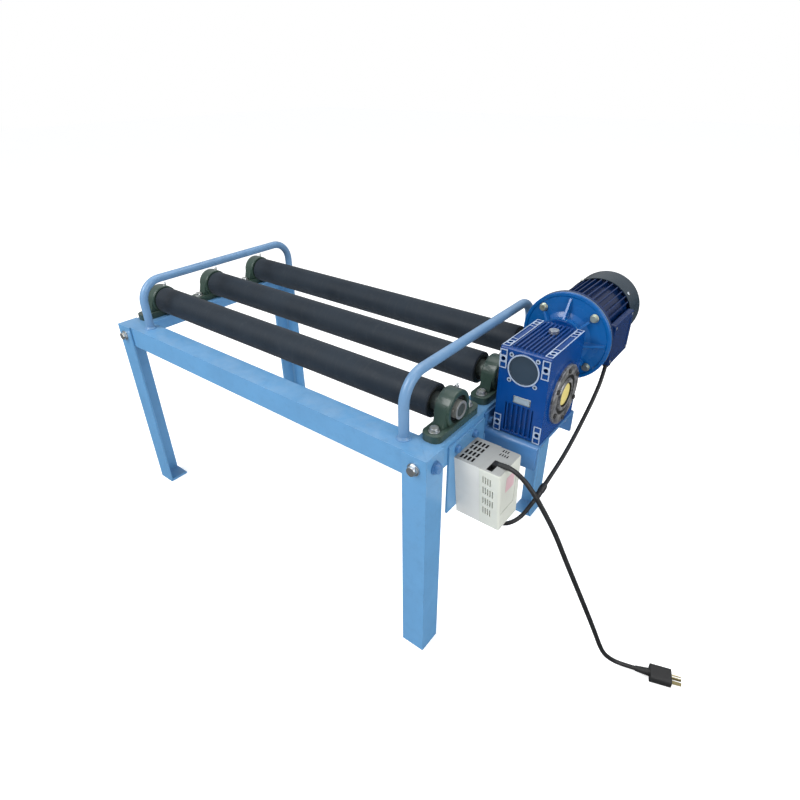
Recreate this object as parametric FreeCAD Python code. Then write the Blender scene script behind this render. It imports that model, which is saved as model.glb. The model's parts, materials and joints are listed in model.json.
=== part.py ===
# Three-roller bottle roller on an angle-iron stand, driven by a flange motor and a worm gearbox.
# Millimetres. X runs along the rollers, Y from front to back, Z up, floor at Z = 0.
import os
from math import cos, degrees, pi, radians, sin, sqrt, tan

import FreeCAD
import Part

Vec = FreeCAD.Vector
os.makedirs("parts", exist_ok=True)

# Frame
frame_length = 940.0
frame_width = 540.0
frame_height = 480.0
angle_width = 50.0
angle_thickness = 5.0
angle_root_radius = 6.0
angle_toe_radius = 2.5
corner_clearance = 0.5
foot_plate_thickness = 6.0

# Hexagon fasteners: thread diameter, width across flats, head height, washer diameter
frame_bolt = dict(thread=12.0, flats=18.0, head=7.5, washer=24.0, washer_thick=2.5, nut=10.0)
bearing_bolt = dict(thread=10.0, flats=16.0, head=6.4, washer=20.0, washer_thick=2.0, nut=8.0)
drive_bolt = dict(thread=8.0, flats=13.0, head=5.3, washer=16.0, washer_thick=1.6, nut=6.5)
hole_clearance = 0.5
frame_bolt_edge = 25.0
bolt_tail = 3.0

# Guard hoops
hoop_tube_diameter = 19.0
hoop_wall = 2.0
hoop_bend_radius = 50.0
hoop_rise = 112.0
hoop_left_inset = 87.0
hoop_right_inset = 66.0
hoop_front_inset = 34.0
hoop_rear_inset = 42.0
hoop_collar_height = 5.0
hoop_collar_reach = 3.5

# Rollers
roller_diameter = 64.0
roller_rubber = 4.0
roller_tube_wall = 4.0
roller_pitch = 156.0
middle_roller_y = 3.0
roller_left_gap = 19.5
roller_right_gap = 32.0
roller_end_disc = 12.0
shaft_diameter = 25.0
shaft_neck_diameter = 34.0
neck_to_bearing_gap = 2.0

# Pillow block bearings
left_washer_gap = 0.2
bearing_right_inset = 25.0
block_centre_height = 36.5
block_length = 140.0
block_bolt_spacing = 105.0
block_base_width = 38.0
block_foot_height = 14.0
block_body_radius = 35.0
block_body_width = 30.0
outer_ring_diameter = 52.0
outer_ring_width = 17.0
inner_ring_diameter = 34.0
inner_ring_short_side = 14.3
inner_ring_long_side = 19.8
running_clearance = 0.05
set_screw_diameter = 5.0
nipple_tilt = 22.0
nipple_height = 9.0

# Worm gearbox
gearbox_reach = 63.0
gearbox_width = 92.0
gearbox_front_reach = 74.0
gearbox_rear_reach = 69.0
gearbox_below = 73.5
gearbox_above = 100.5
gearbox_wall = 8.0
gearbox_corner_radius = 3.0
gearbox_hub_radius = 60.0
gearbox_hub_half_width = 48.0
worm_centre_distance = 63.0
hollow_shaft_half_length = 47.5
hollow_shaft_diameter = 38.0
side_cover_radius = 56.0
side_cover_thickness = 4.5
side_cover_spigot = 10.0
side_cover_step = 12.0
cover_boss_rise = 1.0
cover_groove_depth = 1.3
cover_counterbore_depth = 3.0
cap_side_gap = 2.0
pad_width = 14.0
pad_height = 35.5
pad_relief = 1.6
pad_root = 4.0
pad_edge_gap = 3.5
pad_bottom_gap = 0.8
pad_ridge = 1.8
pad_rim = 2.0
pad_pocket_height = 9.0
pad_hole_diameter = 8.2
pad_hole_depth = 12.0
fin_thickness = 2.6
fin_relief = 4.0
fin_recess = 4.0
front_fin_length = 58.0
top_fin_count = 8
front_fin_count = 6
worm_cover_radius = 28.3
worm_cover_thickness = 3.0
worm_lug_circle = 34.0
worm_lug_radius = 4.2
lug_screw_radius = 2.0
lug_turns = (45, 135, 225, 315)
side_screw_count = 6
side_screw_circle = 48.0
side_screw_flats = 8.0
side_screw_height = 3.2
worm_shaft_diameter = 22.0
worm_barrel_diameter = 25.0
wheel_tooth_count = 30
wheel_face_width = 28.0
wheel_tooth_depth = 5.0
mesh_clearance = 0.5
cap_radius = 21.0
cap_thickness = 3.5
breather_flats = 16.0
breather_cap_radius = 8.6

# Motor flanges and motor
bell_radius = 44.0
bell_length = 28.0
flange_radius = 86.0
flange_thickness = 8.0
flange_chamfer = 0.8
flange_bolt_circle = 139.0
flange_bolt_turns = (45, 135, 225, 315)
flange_rib_count = 8
flange_rib_thickness = 4.0
motor_body_radius = 61.0
motor_fin_radius = 69.0
motor_fin_thickness = 2.2
motor_fin_count = 36
motor_fin_start = 13.0
motor_body_length = 158.0
motor_bore_radius = 38.0
motor_shield_thickness = 10.0
rotor_radius = 37.5
motor_shaft_diameter = 19.0
fan_cover_radius = 70.0
fan_cover_length = 68.0
fan_cover_wall = 1.5
fan_cover_overlap = 12.0
fan_cover_slot_count = 12
fan_radius = 56.0
fan_blade_count = 7

# Terminal box on the motor
terminal_outer_x = 76.0
terminal_inner_x = 44.0
terminal_length = 108.0
terminal_start = 34.0
terminal_top = 24.0
terminal_bottom = -62.0
terminal_lid_thickness = 4.0
gland_flats = 15.0
gland_length = 10.0
gland_boss_diameter = 16.6
gland_boss_length = 5.0
gland_from_lid = 12.5
gland_from_front = 33.0
gland_tilt = 18.0

# Gearbox bracket
bracket_plate = 6.0
bracket_flange_depth = 50.0
bracket_bend_radius = 10.0
bracket_front_overhang = 9.0
bracket_rear_overhang = 14.0
bracket_reach = 106.0
bracket_bolt_spread = 66.0
foot_bolt_depth = 10.0
back_plate_thickness = 4.0
back_plate_rise = 31.0

# Inverter: a moulded case that narrows towards its lower end
mount_plate_leg_gap = 20.0
mount_plate_bracket_gap = 1.0
mount_plate_top_gap = 13.0
mount_plate_height = 146.0
mount_bolt_insets = (24.0, 82.0)
inverter_inset = 16.0
inverter_width = 77.0
inverter_height = 135.0
inverter_top_gap = 41.0
inverter_left_lean = 18.0
inverter_right_lean = 8.0
inverter_base_depth = 50.0
inverter_cover_depth = 40.0
inverter_edge_radius = 4.0
vent_depth = 3.0
panel_recess = 0.8

# Cables
power_cord_diameter = 8.5
motor_cable_diameter = 8.0
cord_socket_clearance = 0.3
splice_diameter = 13.0
splice_length = 34.0
splice_offset = 15.5
splice_clearance = 0.6
plug_width = 34.0
plug_height = 18.0
plug_length = 38.0
plug_relief_length = 26.0
plug_relief_diameter = 15.0
plug_blade_length = 18.0

# Sizes that follow from the ones above
leg_x = frame_length / 2
leg_y = frame_width / 2
rail_x = leg_x - angle_thickness
rail_y = leg_y - angle_thickness
roller_z = frame_height + block_centre_height
hoop_left_x = hoop_left_inset - rail_x
hoop_right_x = rail_x - hoop_right_inset
bearing_left_x = angle_thickness + angle_root_radius + bearing_bolt["washer"] / 2 + left_washer_gap - rail_x
bearing_right_x = rail_x - bearing_right_inset
roller_left_x = bearing_left_x + roller_left_gap
roller_right_x = bearing_right_x - roller_right_gap
gearbox_x = rail_x + gearbox_reach
roller_ys = (middle_roller_y - roller_pitch, middle_roller_y, middle_roller_y + roller_pitch)
roller_names = ("front", "middle", "rear")
worm_z = roller_z + worm_centre_distance
gearbox_y = middle_roller_y
gearbox_bottom_z = roller_z - gearbox_below
gearbox_top_z = roller_z + gearbox_above
gearbox_front_y = gearbox_y - gearbox_front_reach
gearbox_rear_y = gearbox_y + gearbox_rear_reach
flange_y = gearbox_rear_y + bell_length
motor_flange_y = flange_y + flange_thickness
motor_body_y = motor_flange_y + flange_thickness
motor_shield_y = motor_body_y + motor_body_length
fan_cover_y = motor_shield_y - fan_cover_overlap
bracket_front_y = gearbox_front_y - bracket_front_overhang
bracket_rear_y = gearbox_rear_y + bracket_rear_overhang
mount_plate_left_y = angle_width + mount_plate_leg_gap - leg_y
mount_plate_right_y = bracket_front_y - mount_plate_bracket_gap
inverter_left_y = mount_plate_left_y + inverter_inset
inverter_back_x = rail_x + back_plate_thickness
inverter_top_z = frame_height - inverter_top_gap
inverter_front_x = inverter_back_x + inverter_base_depth + inverter_cover_depth
shapes = {}


def keep(name, shape):
    """Remember one named sub-part and refuse a broken solid."""
    if not shape.isValid() or not shape.Solids:
        raise RuntimeError("broken sub-part " + name)
    shapes[name] = shape


def box(x0, x1, y0, y1, z0, z1):
    """Box between two corners."""
    return Part.makeBox(x1 - x0, y1 - y0, z1 - z0, Vec(x0, y0, z0))


def cylinder(radius, start, axis, length):
    """Cylinder from a start point along an axis."""
    return Part.makeCylinder(radius, length, start, axis)


def tube(outer, inner, start, axis, length):
    """Ring or tube from a start point along an axis."""
    return cylinder(outer, start, axis, length).cut(cylinder(inner, start, axis, length))


def joined(pieces):
    """Fuse a list of solids into one clean solid."""
    first = pieces[0]
    return first.multiFuse(pieces[1:]).removeSplitter() if len(pieces) > 1 else first


def outline(points, origin, u_dir, v_dir):
    """Closed face through points; a point written as (mid, end) is reached along an arc."""
    def place(p):
        return origin + u_dir * p[0] + v_dir * p[1]
    edges = []
    here = points[0]
    for target in list(points[1:]) + [points[0]]:
        if isinstance(target[0], tuple):
            mid, end = target
            edges.append(Part.Arc(place(here), place(mid), place(end)).toShape())
            here = end
        elif (place(target) - place(here)).Length > 1e-6:
            edges.append(Part.makeLine(place(here), place(target)))
            here = target
    return Part.Face(Part.Wire(edges))


def corner(cx, cy, radius, start_angle, end_angle):
    """Arc entry for outline(): middle and end point of a corner round."""
    mid = radians((start_angle + end_angle) / 2)
    end = radians(end_angle)
    return ((cx + radius * cos(mid), cy + radius * sin(mid)), (cx + radius * cos(end), cy + radius * sin(end)))


def rounded_rectangle(u0, u1, v0, v1, radius):
    """Point list of a rectangle with rounded corners."""
    return [(u0 + radius, v0), (u1 - radius, v0), corner(u1 - radius, v0 + radius, radius, -90, 0),
            (u1, v1 - radius), corner(u1 - radius, v1 - radius, radius, 0, 90),
            (u0 + radius, v1), corner(u0 + radius, v1 - radius, radius, 90, 180),
            (u0, v0 + radius), corner(u0 + radius, v0 + radius, radius, 180, 270)]


def angle_section(origin, u_dir, v_dir):
    """Rolled equal angle: heel at the origin, one leg along u and one along v."""
    w = angle_width
    t = angle_thickness
    root = angle_root_radius
    toe = angle_toe_radius
    points = [(0, 0), (w, 0), (w, t - toe), corner(w - toe, t - toe, toe, 0, 90),
              (t + root, t), corner(t + root, t + root, root, 270, 180),
              (t, w - toe), corner(t - toe, w - toe, toe, 0, 90), (0, w)]
    return outline(points, origin, u_dir, v_dir)


def hexagon(flats, start, axis, length, side=Vec(0, 0, 1)):
    """Hexagonal prism of a given width across flats."""
    across = axis.cross(side)
    if across.Length < 0.1:
        across = axis.cross(Vec(1, 0, 0))
    across.normalize()
    upright = across.cross(axis)
    radius = flats / sqrt(3)
    corners = [start + across * radius * cos(k * pi / 3) + upright * radius * sin(k * pi / 3) for k in range(7)]
    return Part.Face(Part.makePolygon(corners)).extrude(axis * length)


def bolt_set(spec, face_point, axis, grip, with_nut=True):
    """Hexagon bolt with washer, and a nut with washer behind the grip. The axis points out of the face."""
    back = axis * -1
    washer = spec["washer_thick"]
    seat = face_point + axis * washer
    shank = spec["thread"] / 2
    hole = shank + hole_clearance
    reach = washer + grip + (washer + spec["nut"] + bolt_tail if with_nut else 0)
    head = hexagon(spec["flats"], seat, axis, spec["head"])
    crown = Part.makeCone(spec["flats"] / 2 + 1.6, spec["flats"] / 2 - 0.6, spec["head"], seat, axis)
    bolt = head.common(crown).fuse(cylinder(shank, seat, back, reach))
    pieces = [bolt, tube(spec["washer"] / 2, hole - 0.2, face_point, axis, washer)]
    if with_nut:
        behind = face_point + back * grip
        pieces.append(tube(spec["washer"] / 2, hole - 0.2, behind, back, washer))
        nut = hexagon(spec["flats"], behind + back * washer, back, spec["nut"])
        pieces.append(nut.cut(cylinder(shank, behind, back, washer + spec["nut"] + 1)))
    return pieces


def bolt_hole(spec, point, axis, depth):
    """Clearance hole for a bolt, started a little outside the face."""
    return cylinder(spec["thread"] / 2 + hole_clearance, point + axis, axis * -1, depth + 2)


# Frame rails, mitred at the corners
X = Vec(1, 0, 0)
Y = Vec(0, 1, 0)
Z = Vec(0, 0, 1)


def mitre_tools():
    """Four prisms that cover the front, rear, left and right quarters between the corner mitres."""
    z0 = frame_height - angle_width - 1
    reach = rail_y
    inner_x = rail_x - reach
    quarters = {
        "front": [(-rail_x, -rail_y), (rail_x, -rail_y), (inner_x, 0), (-inner_x, 0)],
        "rear": [(-rail_x, rail_y), (rail_x, rail_y), (inner_x, 0), (-inner_x, 0)],
        "left": [(-rail_x, -rail_y), (-rail_x, rail_y), (-inner_x, 0)],
        "right": [(rail_x, -rail_y), (rail_x, rail_y), (inner_x, 0)],
    }
    return {name: outline(points, Vec(0, 0, z0), X, Y).extrude(Z * (angle_width + 2))
            for name, points in quarters.items()}


def frame_bolt_points():
    """Outer face point and outward direction of each leg bolt."""
    z = frame_height - frame_bolt_edge
    points = []
    for sx in (-1, 1):
        for sy in (-1, 1):
            points.append((Vec(sx * (leg_x - frame_bolt_edge), sy * leg_y, z), Y * sy))
            points.append((Vec(sx * leg_x, sy * (leg_y - frame_bolt_edge), z), X * sx))
    return points


def block_bolt_points():
    """Floor point of every pillow block bolt on the rail tops."""
    points = []
    for x in (bearing_left_x, bearing_right_x):
        for y in roller_ys:
            for side in (-1, 1):
                points.append(Vec(x, y + side * block_bolt_spacing / 2, frame_height))
    return points


def mount_plate_bolt_points():
    """Face points of the two bolts that hold the inverter plate."""
    x = rail_x + back_plate_thickness
    z = frame_height - frame_bolt_edge - 2
    return [Vec(x, mount_plate_left_y + inset, z) for inset in mount_bolt_insets]


def bracket_bolt_points():
    """Face points of the bolts that hold the gearbox bracket to the end rail."""
    x = rail_x + back_plate_thickness
    z = frame_height - frame_bolt_edge
    return [Vec(x, gearbox_y + side * bracket_bolt_spread, z) for side in (-1, 1)]


def foot_bolt_points():
    """Points on the bracket's underside of the four bolts that hold the gearbox down."""
    z = gearbox_bottom_z - bracket_plate
    reach = (gearbox_width - pad_width) / 2
    inset = pad_edge_gap + pad_height / 2
    ys = (gearbox_front_y + inset, gearbox_rear_y - inset)
    return [Vec(gearbox_x + side * reach, y, z) for side in (-1, 1) for y in ys]


def build_rails():
    """Four angle rails with their bolt holes."""
    quarters = mitre_tools()
    top = frame_height
    corner_radius = angle_root_radius + corner_clearance
    plan = outline(rounded_rectangle(-rail_x, rail_x, -rail_y, rail_y, corner_radius), Vec(0, 0, 0), X, Y)
    stand = plan.extrude(Z * (frame_height + 1))
    starts = {
        "front": (angle_section(Vec(-rail_x, -rail_y, top), Y, Z * -1), X * 2 * rail_x),
        "rear": (angle_section(Vec(-rail_x, rail_y, top), Y * -1, Z * -1), X * 2 * rail_x),
        "left": (angle_section(Vec(-rail_x, -rail_y, top), X, Z * -1), Y * 2 * rail_y),
        "right": (angle_section(Vec(rail_x, -rail_y, top), X * -1, Z * -1), Y * 2 * rail_y),
    }
    holes = [bolt_hole(frame_bolt, p, axis, 2 * angle_thickness) for p, axis in frame_bolt_points()]
    holes += [bolt_hole(bearing_bolt, p, Z, angle_thickness) for p in block_bolt_points()]
    plate_grip = back_plate_thickness + angle_thickness
    holes += [bolt_hole(drive_bolt, p, X, plate_grip) for p in mount_plate_bolt_points() + bracket_bolt_points()]
    names = {"front": "front_rail", "rear": "rear_rail", "left": "left_end_rail", "right": "right_end_rail"}
    for side, (section, run) in starts.items():
        keep(names[side], section.extrude(run).common(quarters[side]).common(stand).cut(holes))


def build_legs():
    """Four angle legs outside the rails, each with a square foot plate welded in."""
    for sx, x_name in ((-1, "left"), (1, "right")):
        for sy, y_name in ((-1, "front"), (1, "rear")):
            heel = Vec(sx * leg_x, sy * leg_y, 0)
            leg = angle_section(heel, X * -sx, Y * -sy).extrude(Z * frame_height)
            holes = [bolt_hole(frame_bolt, p, axis, 2 * angle_thickness) for p, axis in frame_bolt_points()]
            t = angle_thickness
            r = angle_root_radius
            w = angle_width
            points = [(t + r, t), (w, t), (w, w), (t, w), (t, t + r), corner(t + r, t + r, r, 180, 270)]
            foot = outline(points, heel, X * -sx, Y * -sy).extrude(Z * foot_plate_thickness)
            keep("leg_" + y_name + "_" + x_name, joined([leg, foot]).cut(holes))


def build_frame_bolts():
    """Bolt sets through legs and rails."""
    pieces = []
    for point, axis in frame_bolt_points():
        pieces += bolt_set(frame_bolt, point, axis, 2 * angle_thickness)
    keep("frame_bolts", Part.makeCompound(pieces))


def hoop_solid(x, radius):
    """Bent bar of one guard hoop, from rail top to rail top."""
    y0 = -rail_y + hoop_front_inset - angle_thickness
    y1 = rail_y - hoop_rear_inset
    z0 = frame_height
    z1 = frame_height + hoop_rise
    r = hoop_bend_radius
    s = r * sin(radians(45))
    path = Part.Wire([
        Part.makeLine(Vec(x, y0, z0), Vec(x, y0, z1 - r)),
        Part.Arc(Vec(x, y0, z1 - r), Vec(x, y0 + r - s, z1 - r + s), Vec(x, y0 + r, z1)).toShape(),
        Part.makeLine(Vec(x, y0 + r, z1), Vec(x, y1 - r, z1)),
        Part.Arc(Vec(x, y1 - r, z1), Vec(x, y1 - r + s, z1 - r + s), Vec(x, y1, z1 - r)).toShape(),
        Part.makeLine(Vec(x, y1, z1 - r), Vec(x, y1, z0))])
    start = Part.Wire(Part.makeCircle(radius, Vec(x, y0, z0), Z))
    collars = [Part.makeCone(radius + hoop_collar_reach, radius, hoop_collar_height, Vec(x, y, z0), Z)
               for y in (y0, y1)]
    return path.makePipeShell([start], True, False), collars


def build_hoops():
    """Two guard hoops of round tube with a weld collar at each foot."""
    for name, x in (("left_guard_hoop", hoop_left_x), ("right_guard_hoop", hoop_right_x)):
        outer, collars = hoop_solid(x, hoop_tube_diameter / 2)
        inner = hoop_solid(x, hoop_tube_diameter / 2 - hoop_wall)[0]
        keep(name, joined([outer] + collars).cut(inner))


# Pillow blocks
def block_housing(x, y):
    """Cast pillow block housing: foot, flanks, round body and bore for the insert bearing."""
    base = Vec(x, y, frame_height)
    half = block_length / 2
    end = block_base_width / 2
    foot_points = rounded_rectangle(-end, end, -half, half, end - 4)
    foot = outline(foot_points, base, X, Y).extrude(Z * block_foot_height)
    h = block_centre_height
    r = block_body_radius
    flank_width = block_body_width - 8
    foot_top = block_foot_height - 1
    reach = block_bolt_spacing / 2 - 9
    touch = radians(18)
    ty = r * cos(touch)
    tz = h + r * sin(touch)
    flank_points = [(-reach, 0), (reach, 0), (reach, foot_top), (ty, tz), ((0, h + r), (-ty, tz)),
                    (-reach, foot_top)]
    flank = outline(flank_points, base - X * (flank_width / 2), Y, Z).extrude(X * flank_width)
    w = block_body_width / 2
    centre = base + Z * h
    profile = [(-w, 0), (-w, r - 3), ((-w + 0.9, r - 0.9), (-w + 3, r)), (w - 3, r),
               ((w - 0.9, r - 0.9), (w, r - 3)), (w, 0)]
    body = outline(profile, centre, X, Z).revolve(centre, X, 360)
    above = box(x - w, x + w, y - r, y + r, frame_height, frame_height + h + r + 1)
    shape = joined([foot, flank, body.common(above)])
    bore = cylinder(outer_ring_diameter / 2, centre - X * w, X, 2 * w)
    slot_shift = 3.0
    cuts = [bore]
    for side in (-1, 1):
        hole_y = y + side * block_bolt_spacing / 2
        slot = rounded_rectangle(-5.5, 5.5, -5.5 - slot_shift, 5.5 + slot_shift, 5.4)
        cuts.append(outline(slot, Vec(x, hole_y, frame_height - 1), X, Y).extrude(Z * (block_foot_height + 2)))
        spot = Vec(x, hole_y, frame_height + block_foot_height - 1)
        cuts.append(cylinder(bearing_bolt["washer"] / 2 + 1, spot, Z, 12))
    return shape.cut(cuts)


def outer_ring(x, y):
    """Outer ring of the insert bearing with its seals and its raceway shoulder."""
    centre = Vec(x, y, roller_z)
    inner = inner_ring_diameter / 2 + running_clearance
    outer = outer_ring_diameter / 2
    w = outer_ring_width / 2
    profile = [(-w + 1.5, inner), (w - 1.5, inner), (w - 1.5, outer - 5), (w, outer - 4), (w, outer),
               (-w, outer), (-w, outer - 4), (-w + 1.5, outer - 5)]
    return outline(profile, centre, X, Z).revolve(centre, X, 360)


def grease_nipple(x, y):
    """Grease nipple on the housing, tilted to the rear."""
    tilt = radians(nipple_tilt)
    out = Vec(0, sin(tilt), cos(tilt))
    seat = Vec(x, y, roller_z) + out * (block_body_radius - 0.3)
    stem = cylinder(2.6, seat, out, 3.3)
    nut = hexagon(7.0, seat + out * 1.3, out, 2.5, X)
    neck = Part.makeCone(2.2, 1.6, 3.0, seat + out * 3.3, out)
    tip = Part.makeSphere(2.0, seat + out * (nipple_height - 2.2))
    shape = joined([stem, nut, neck, tip])
    return shape.cut(Part.makeCylinder(block_body_radius, block_body_width, Vec(x, y, roller_z) - X * 15, X))


def build_bearings():
    """Six pillow blocks with insert rings, nipples and base bolts."""
    rings = []
    nipples = []
    for side, x in (("left", bearing_left_x), ("right", bearing_right_x)):
        for name, y in zip(roller_names, roller_ys):
            keep("bearing_" + name + "_" + side, block_housing(x, y))
            rings.append(outer_ring(x, y))
            nipples.append(grease_nipple(x, y))
    bolts = []
    seat = block_foot_height - 1
    for point in block_bolt_points():
        bolts += bolt_set(bearing_bolt, point + Z * seat, Z, seat + angle_thickness)
    keep("bearing_outer_rings", Part.makeCompound(rings))
    keep("grease_nipples", Part.makeCompound(nipples))
    keep("bearing_bolts", Part.makeCompound(bolts))


# Rollers
def inner_ring(x, y, outward):
    """Inner ring with its long set-screw side facing outward."""
    axis = X * outward
    start = Vec(x, y, roller_z) - axis * inner_ring_short_side
    length = inner_ring_short_side + inner_ring_long_side
    ring = tube(inner_ring_diameter / 2, shaft_diameter / 2, start, axis, length)
    screw_centre = Vec(x, y, roller_z) + axis * (inner_ring_long_side - 5)
    cuts = []
    for turn in (0, 120):
        out = Vec(0, cos(radians(turn + 40)), sin(radians(turn + 40)))
        cuts.append(cylinder(set_screw_diameter / 2, screw_centre + out * 14.5, out, 5))
    return ring.cut(cuts)


def build_roller(name, y, shaft_end_x):
    """One roller: rubber sleeve, steel tube with end discs, shaft and the two inner rings."""
    axis_start = Vec(roller_left_x, y, roller_z)
    length = roller_right_x - roller_left_x
    outer = roller_diameter / 2
    core = outer - roller_rubber
    chamfer = 1.5
    sleeve_profile = [(0, core), (length, core), (length, outer - chamfer), (length - chamfer, outer),
                      (chamfer, outer), (0, outer - chamfer)]
    sleeve = outline(sleeve_profile, axis_start, X, Z).revolve(axis_start, X, 360)
    keep(name + "_roller_sleeve", sleeve)
    inner = core - roller_tube_wall
    body = [tube(core, inner, axis_start, X, length)]
    neck = shaft_neck_diameter / 2
    recess = 3.0
    for x in (roller_left_x + recess, roller_right_x - recess - roller_end_disc):
        body.append(tube(inner, neck, Vec(x, y, roller_z), X, roller_end_disc))
    keep(name + "_roller_core", joined(body))
    journal = shaft_diameter / 2
    left_neck = bearing_left_x + inner_ring_short_side + neck_to_bearing_gap
    right_neck = bearing_right_x - inner_ring_short_side - neck_to_bearing_gap
    left_end = bearing_left_x - inner_ring_long_side + 1.0
    edge = 1.0
    profile = [(left_end, 0), (left_end, journal - edge), (left_end + edge, journal), (left_neck, journal),
               (left_neck, neck), (right_neck, neck), (right_neck, journal), (shaft_end_x - edge, journal),
               (shaft_end_x, journal - edge), (shaft_end_x, 0)]
    origin = Vec(0, y, roller_z)
    keep(name + "_roller_shaft", outline(profile, origin, X, Z).revolve(origin, X, 360))
    rings = [inner_ring(bearing_left_x, y, -1), inner_ring(bearing_right_x, y, 1)]
    keep(name + "_bearing_rings", Part.makeCompound(rings))


def build_rollers():
    """Three rollers; the middle one reaches into the gearbox."""
    plain_end = bearing_right_x + inner_ring_long_side - 1.0
    drive_end = gearbox_x + hollow_shaft_half_length - 4.0
    for name, y in zip(roller_names, roller_ys):
        build_roller(name, y, drive_end if name == "middle" else plain_end)


# Gearbox
def front_pad(u0, z0):
    """Raised mounting pad on the front face with a threaded hole and two pockets."""
    y = gearbox_front_y
    pad = box(u0, u0 + pad_width, y - pad_relief, y + pad_root, z0, z0 + pad_height)
    centre = Vec(u0 + pad_width / 2, y - pad_relief - 1, z0 + pad_height / 2)
    cuts = [cylinder(pad_hole_diameter / 2, centre, Y, pad_relief + pad_hole_depth)]
    for z in (z0 + pad_rim, z0 + pad_height - pad_rim - pad_pocket_height):
        cuts.append(box(u0 + pad_rim, u0 + pad_width - pad_rim, y - pad_relief - 1, y, z, z + pad_pocket_height))
    return pad, cuts


def top_pad(u0, y0, z_face, up):
    """Raised mounting pad on the top or bottom face."""
    z1 = z_face + up * pad_relief
    pad = box(u0, u0 + pad_width, y0, y0 + pad_height, min(z_face, z1), max(z_face, z1))
    centre = Vec(u0 + pad_width / 2, y0 + pad_height / 2, z1 + up)
    cuts = [cylinder(pad_hole_diameter / 2, centre, Z * -up, pad_relief + pad_hole_depth)]
    if up > 0:
        for y in (y0 + pad_rim, y0 + pad_height - pad_rim - pad_pocket_height):
            cuts.append(box(u0 + pad_rim, u0 + pad_width - pad_rim, y, y + pad_pocket_height, z_face, z1 + 1))
    return pad, cuts


def gearbox_cavity():
    """Space inside the housing: wheel chamber, worm tunnel and the bearing bores."""
    centre = Vec(gearbox_x, gearbox_y, roller_z)
    wall = gearbox_wall
    wheel_room = cylinder(gearbox_below - wall - 2, centre - X * (gearbox_width / 2 - wall), X,
                          gearbox_width - 2 * wall)
    side_bore = cylinder(side_cover_radius - side_cover_step, centre - X * gearbox_hub_half_width, X,
                         2 * gearbox_hub_half_width)
    worm_centre = Vec(gearbox_x, gearbox_front_y, worm_z)
    worm_room = cylinder(worm_cover_radius - 5, worm_centre, Y, gearbox_front_reach + gearbox_rear_reach)
    return [wheel_room, side_bore, worm_room]


def build_gearbox_housing():
    """Cast housing with corner pads, cooling fins, side hubs and screw lugs."""
    half = gearbox_width / 2
    x0 = gearbox_x - half
    x1 = gearbox_x + half
    body_points = rounded_rectangle(gearbox_front_y, gearbox_rear_y, gearbox_bottom_z + pad_relief,
                                    gearbox_top_z - fin_relief, gearbox_corner_radius)
    body = outline(body_points, Vec(x0, 0, 0), Y, Z).extrude(X * gearbox_width)
    fin_span = gearbox_width - 2 * pad_width - 8
    front_span = fin_span - 8
    low = gearbox_bottom_z + 8
    high = low + front_fin_length
    recess = box(gearbox_x - front_span / 2 - 3, gearbox_x + front_span / 2 + 3, gearbox_front_y - 1,
                 gearbox_front_y + fin_recess, low, high)
    pieces = [body.cut(recess)]
    cuts = []
    centre = Vec(gearbox_x, gearbox_y, roller_z)
    hub = cylinder(gearbox_hub_radius, centre - X * gearbox_hub_half_width, X, 2 * gearbox_hub_half_width)
    pieces.append(hub)
    for u0 in (x0, x1 - pad_width):
        for z0 in (gearbox_bottom_z + pad_relief + pad_bottom_gap,
                   gearbox_top_z - fin_relief - pad_height - pad_edge_gap):
            pad, pad_cuts = front_pad(u0, z0)
            pieces.append(pad)
            cuts += pad_cuts
        for y0 in (gearbox_front_y + pad_edge_gap, gearbox_rear_y - pad_height - pad_edge_gap):
            for z_face, up in ((gearbox_top_z - fin_relief, 1), (gearbox_bottom_z + pad_relief, -1)):
                pad, pad_cuts = top_pad(u0, y0, z_face, up)
                pieces.append(pad)
                cuts += pad_cuts
        ridge_z = gearbox_top_z - fin_relief
        ridge_ends = pad_edge_gap + pad_height - 1
        for u in (u0, u0 + pad_width - pad_ridge):
            pieces.append(box(u, u + pad_ridge, gearbox_front_y + ridge_ends, gearbox_rear_y - ridge_ends,
                              ridge_z - 1, ridge_z + pad_relief))
    for k in range(top_fin_count):
        u = gearbox_x - fin_span / 2 + k * (fin_span - fin_thickness) / (top_fin_count - 1)
        z0 = gearbox_top_z - fin_relief
        pieces.append(box(u, u + fin_thickness, gearbox_front_y + 8, gearbox_rear_y - 8, z0 - 1, gearbox_top_z))
    for k in range(front_fin_count):
        u = gearbox_x - front_span / 2 + k * (front_span - fin_thickness) / (front_fin_count - 1)
        pieces.append(box(u, u + fin_thickness, gearbox_front_y, gearbox_front_y + fin_recess + 1,
                          low - 1, high + 1))
    worm_centre = Vec(gearbox_x, gearbox_front_y, worm_z)
    pieces.append(cylinder(worm_cover_radius + 1, worm_centre + Y, Y * -1, worm_cover_thickness))
    for turn in lug_turns:
        out = Vec(cos(radians(turn)), 0, sin(radians(turn)))
        lug = worm_centre + out * worm_lug_circle
        pieces.append(cylinder(worm_lug_radius, lug + Y, Y * -1, worm_cover_thickness))
        cuts.append(cylinder(lug_screw_radius, lug - Y * worm_cover_thickness, Y, 10))
    pieces.append(cylinder(bell_radius - 2, Vec(gearbox_x, gearbox_rear_y - 1, worm_z), Y, 3))
    cuts += gearbox_cavity()
    cuts.append(cylinder(worm_cover_radius - 1.5, worm_centre - Y * worm_cover_thickness, Y, 5))
    cuts.append(cylinder(6.0, breather_seat(), Z * -1, gearbox_wall + 6))
    cuts.append(cylinder(worm_cover_radius - 5, Vec(gearbox_x, gearbox_rear_y - 1, worm_z), Y, 5))
    keep("gearbox_housing", joined(pieces).cut(cuts))


def breather_seat():
    """Centre of the breather boss on the gearbox top."""
    return Vec(gearbox_x + 7, gearbox_y + 19, gearbox_top_z)


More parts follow.
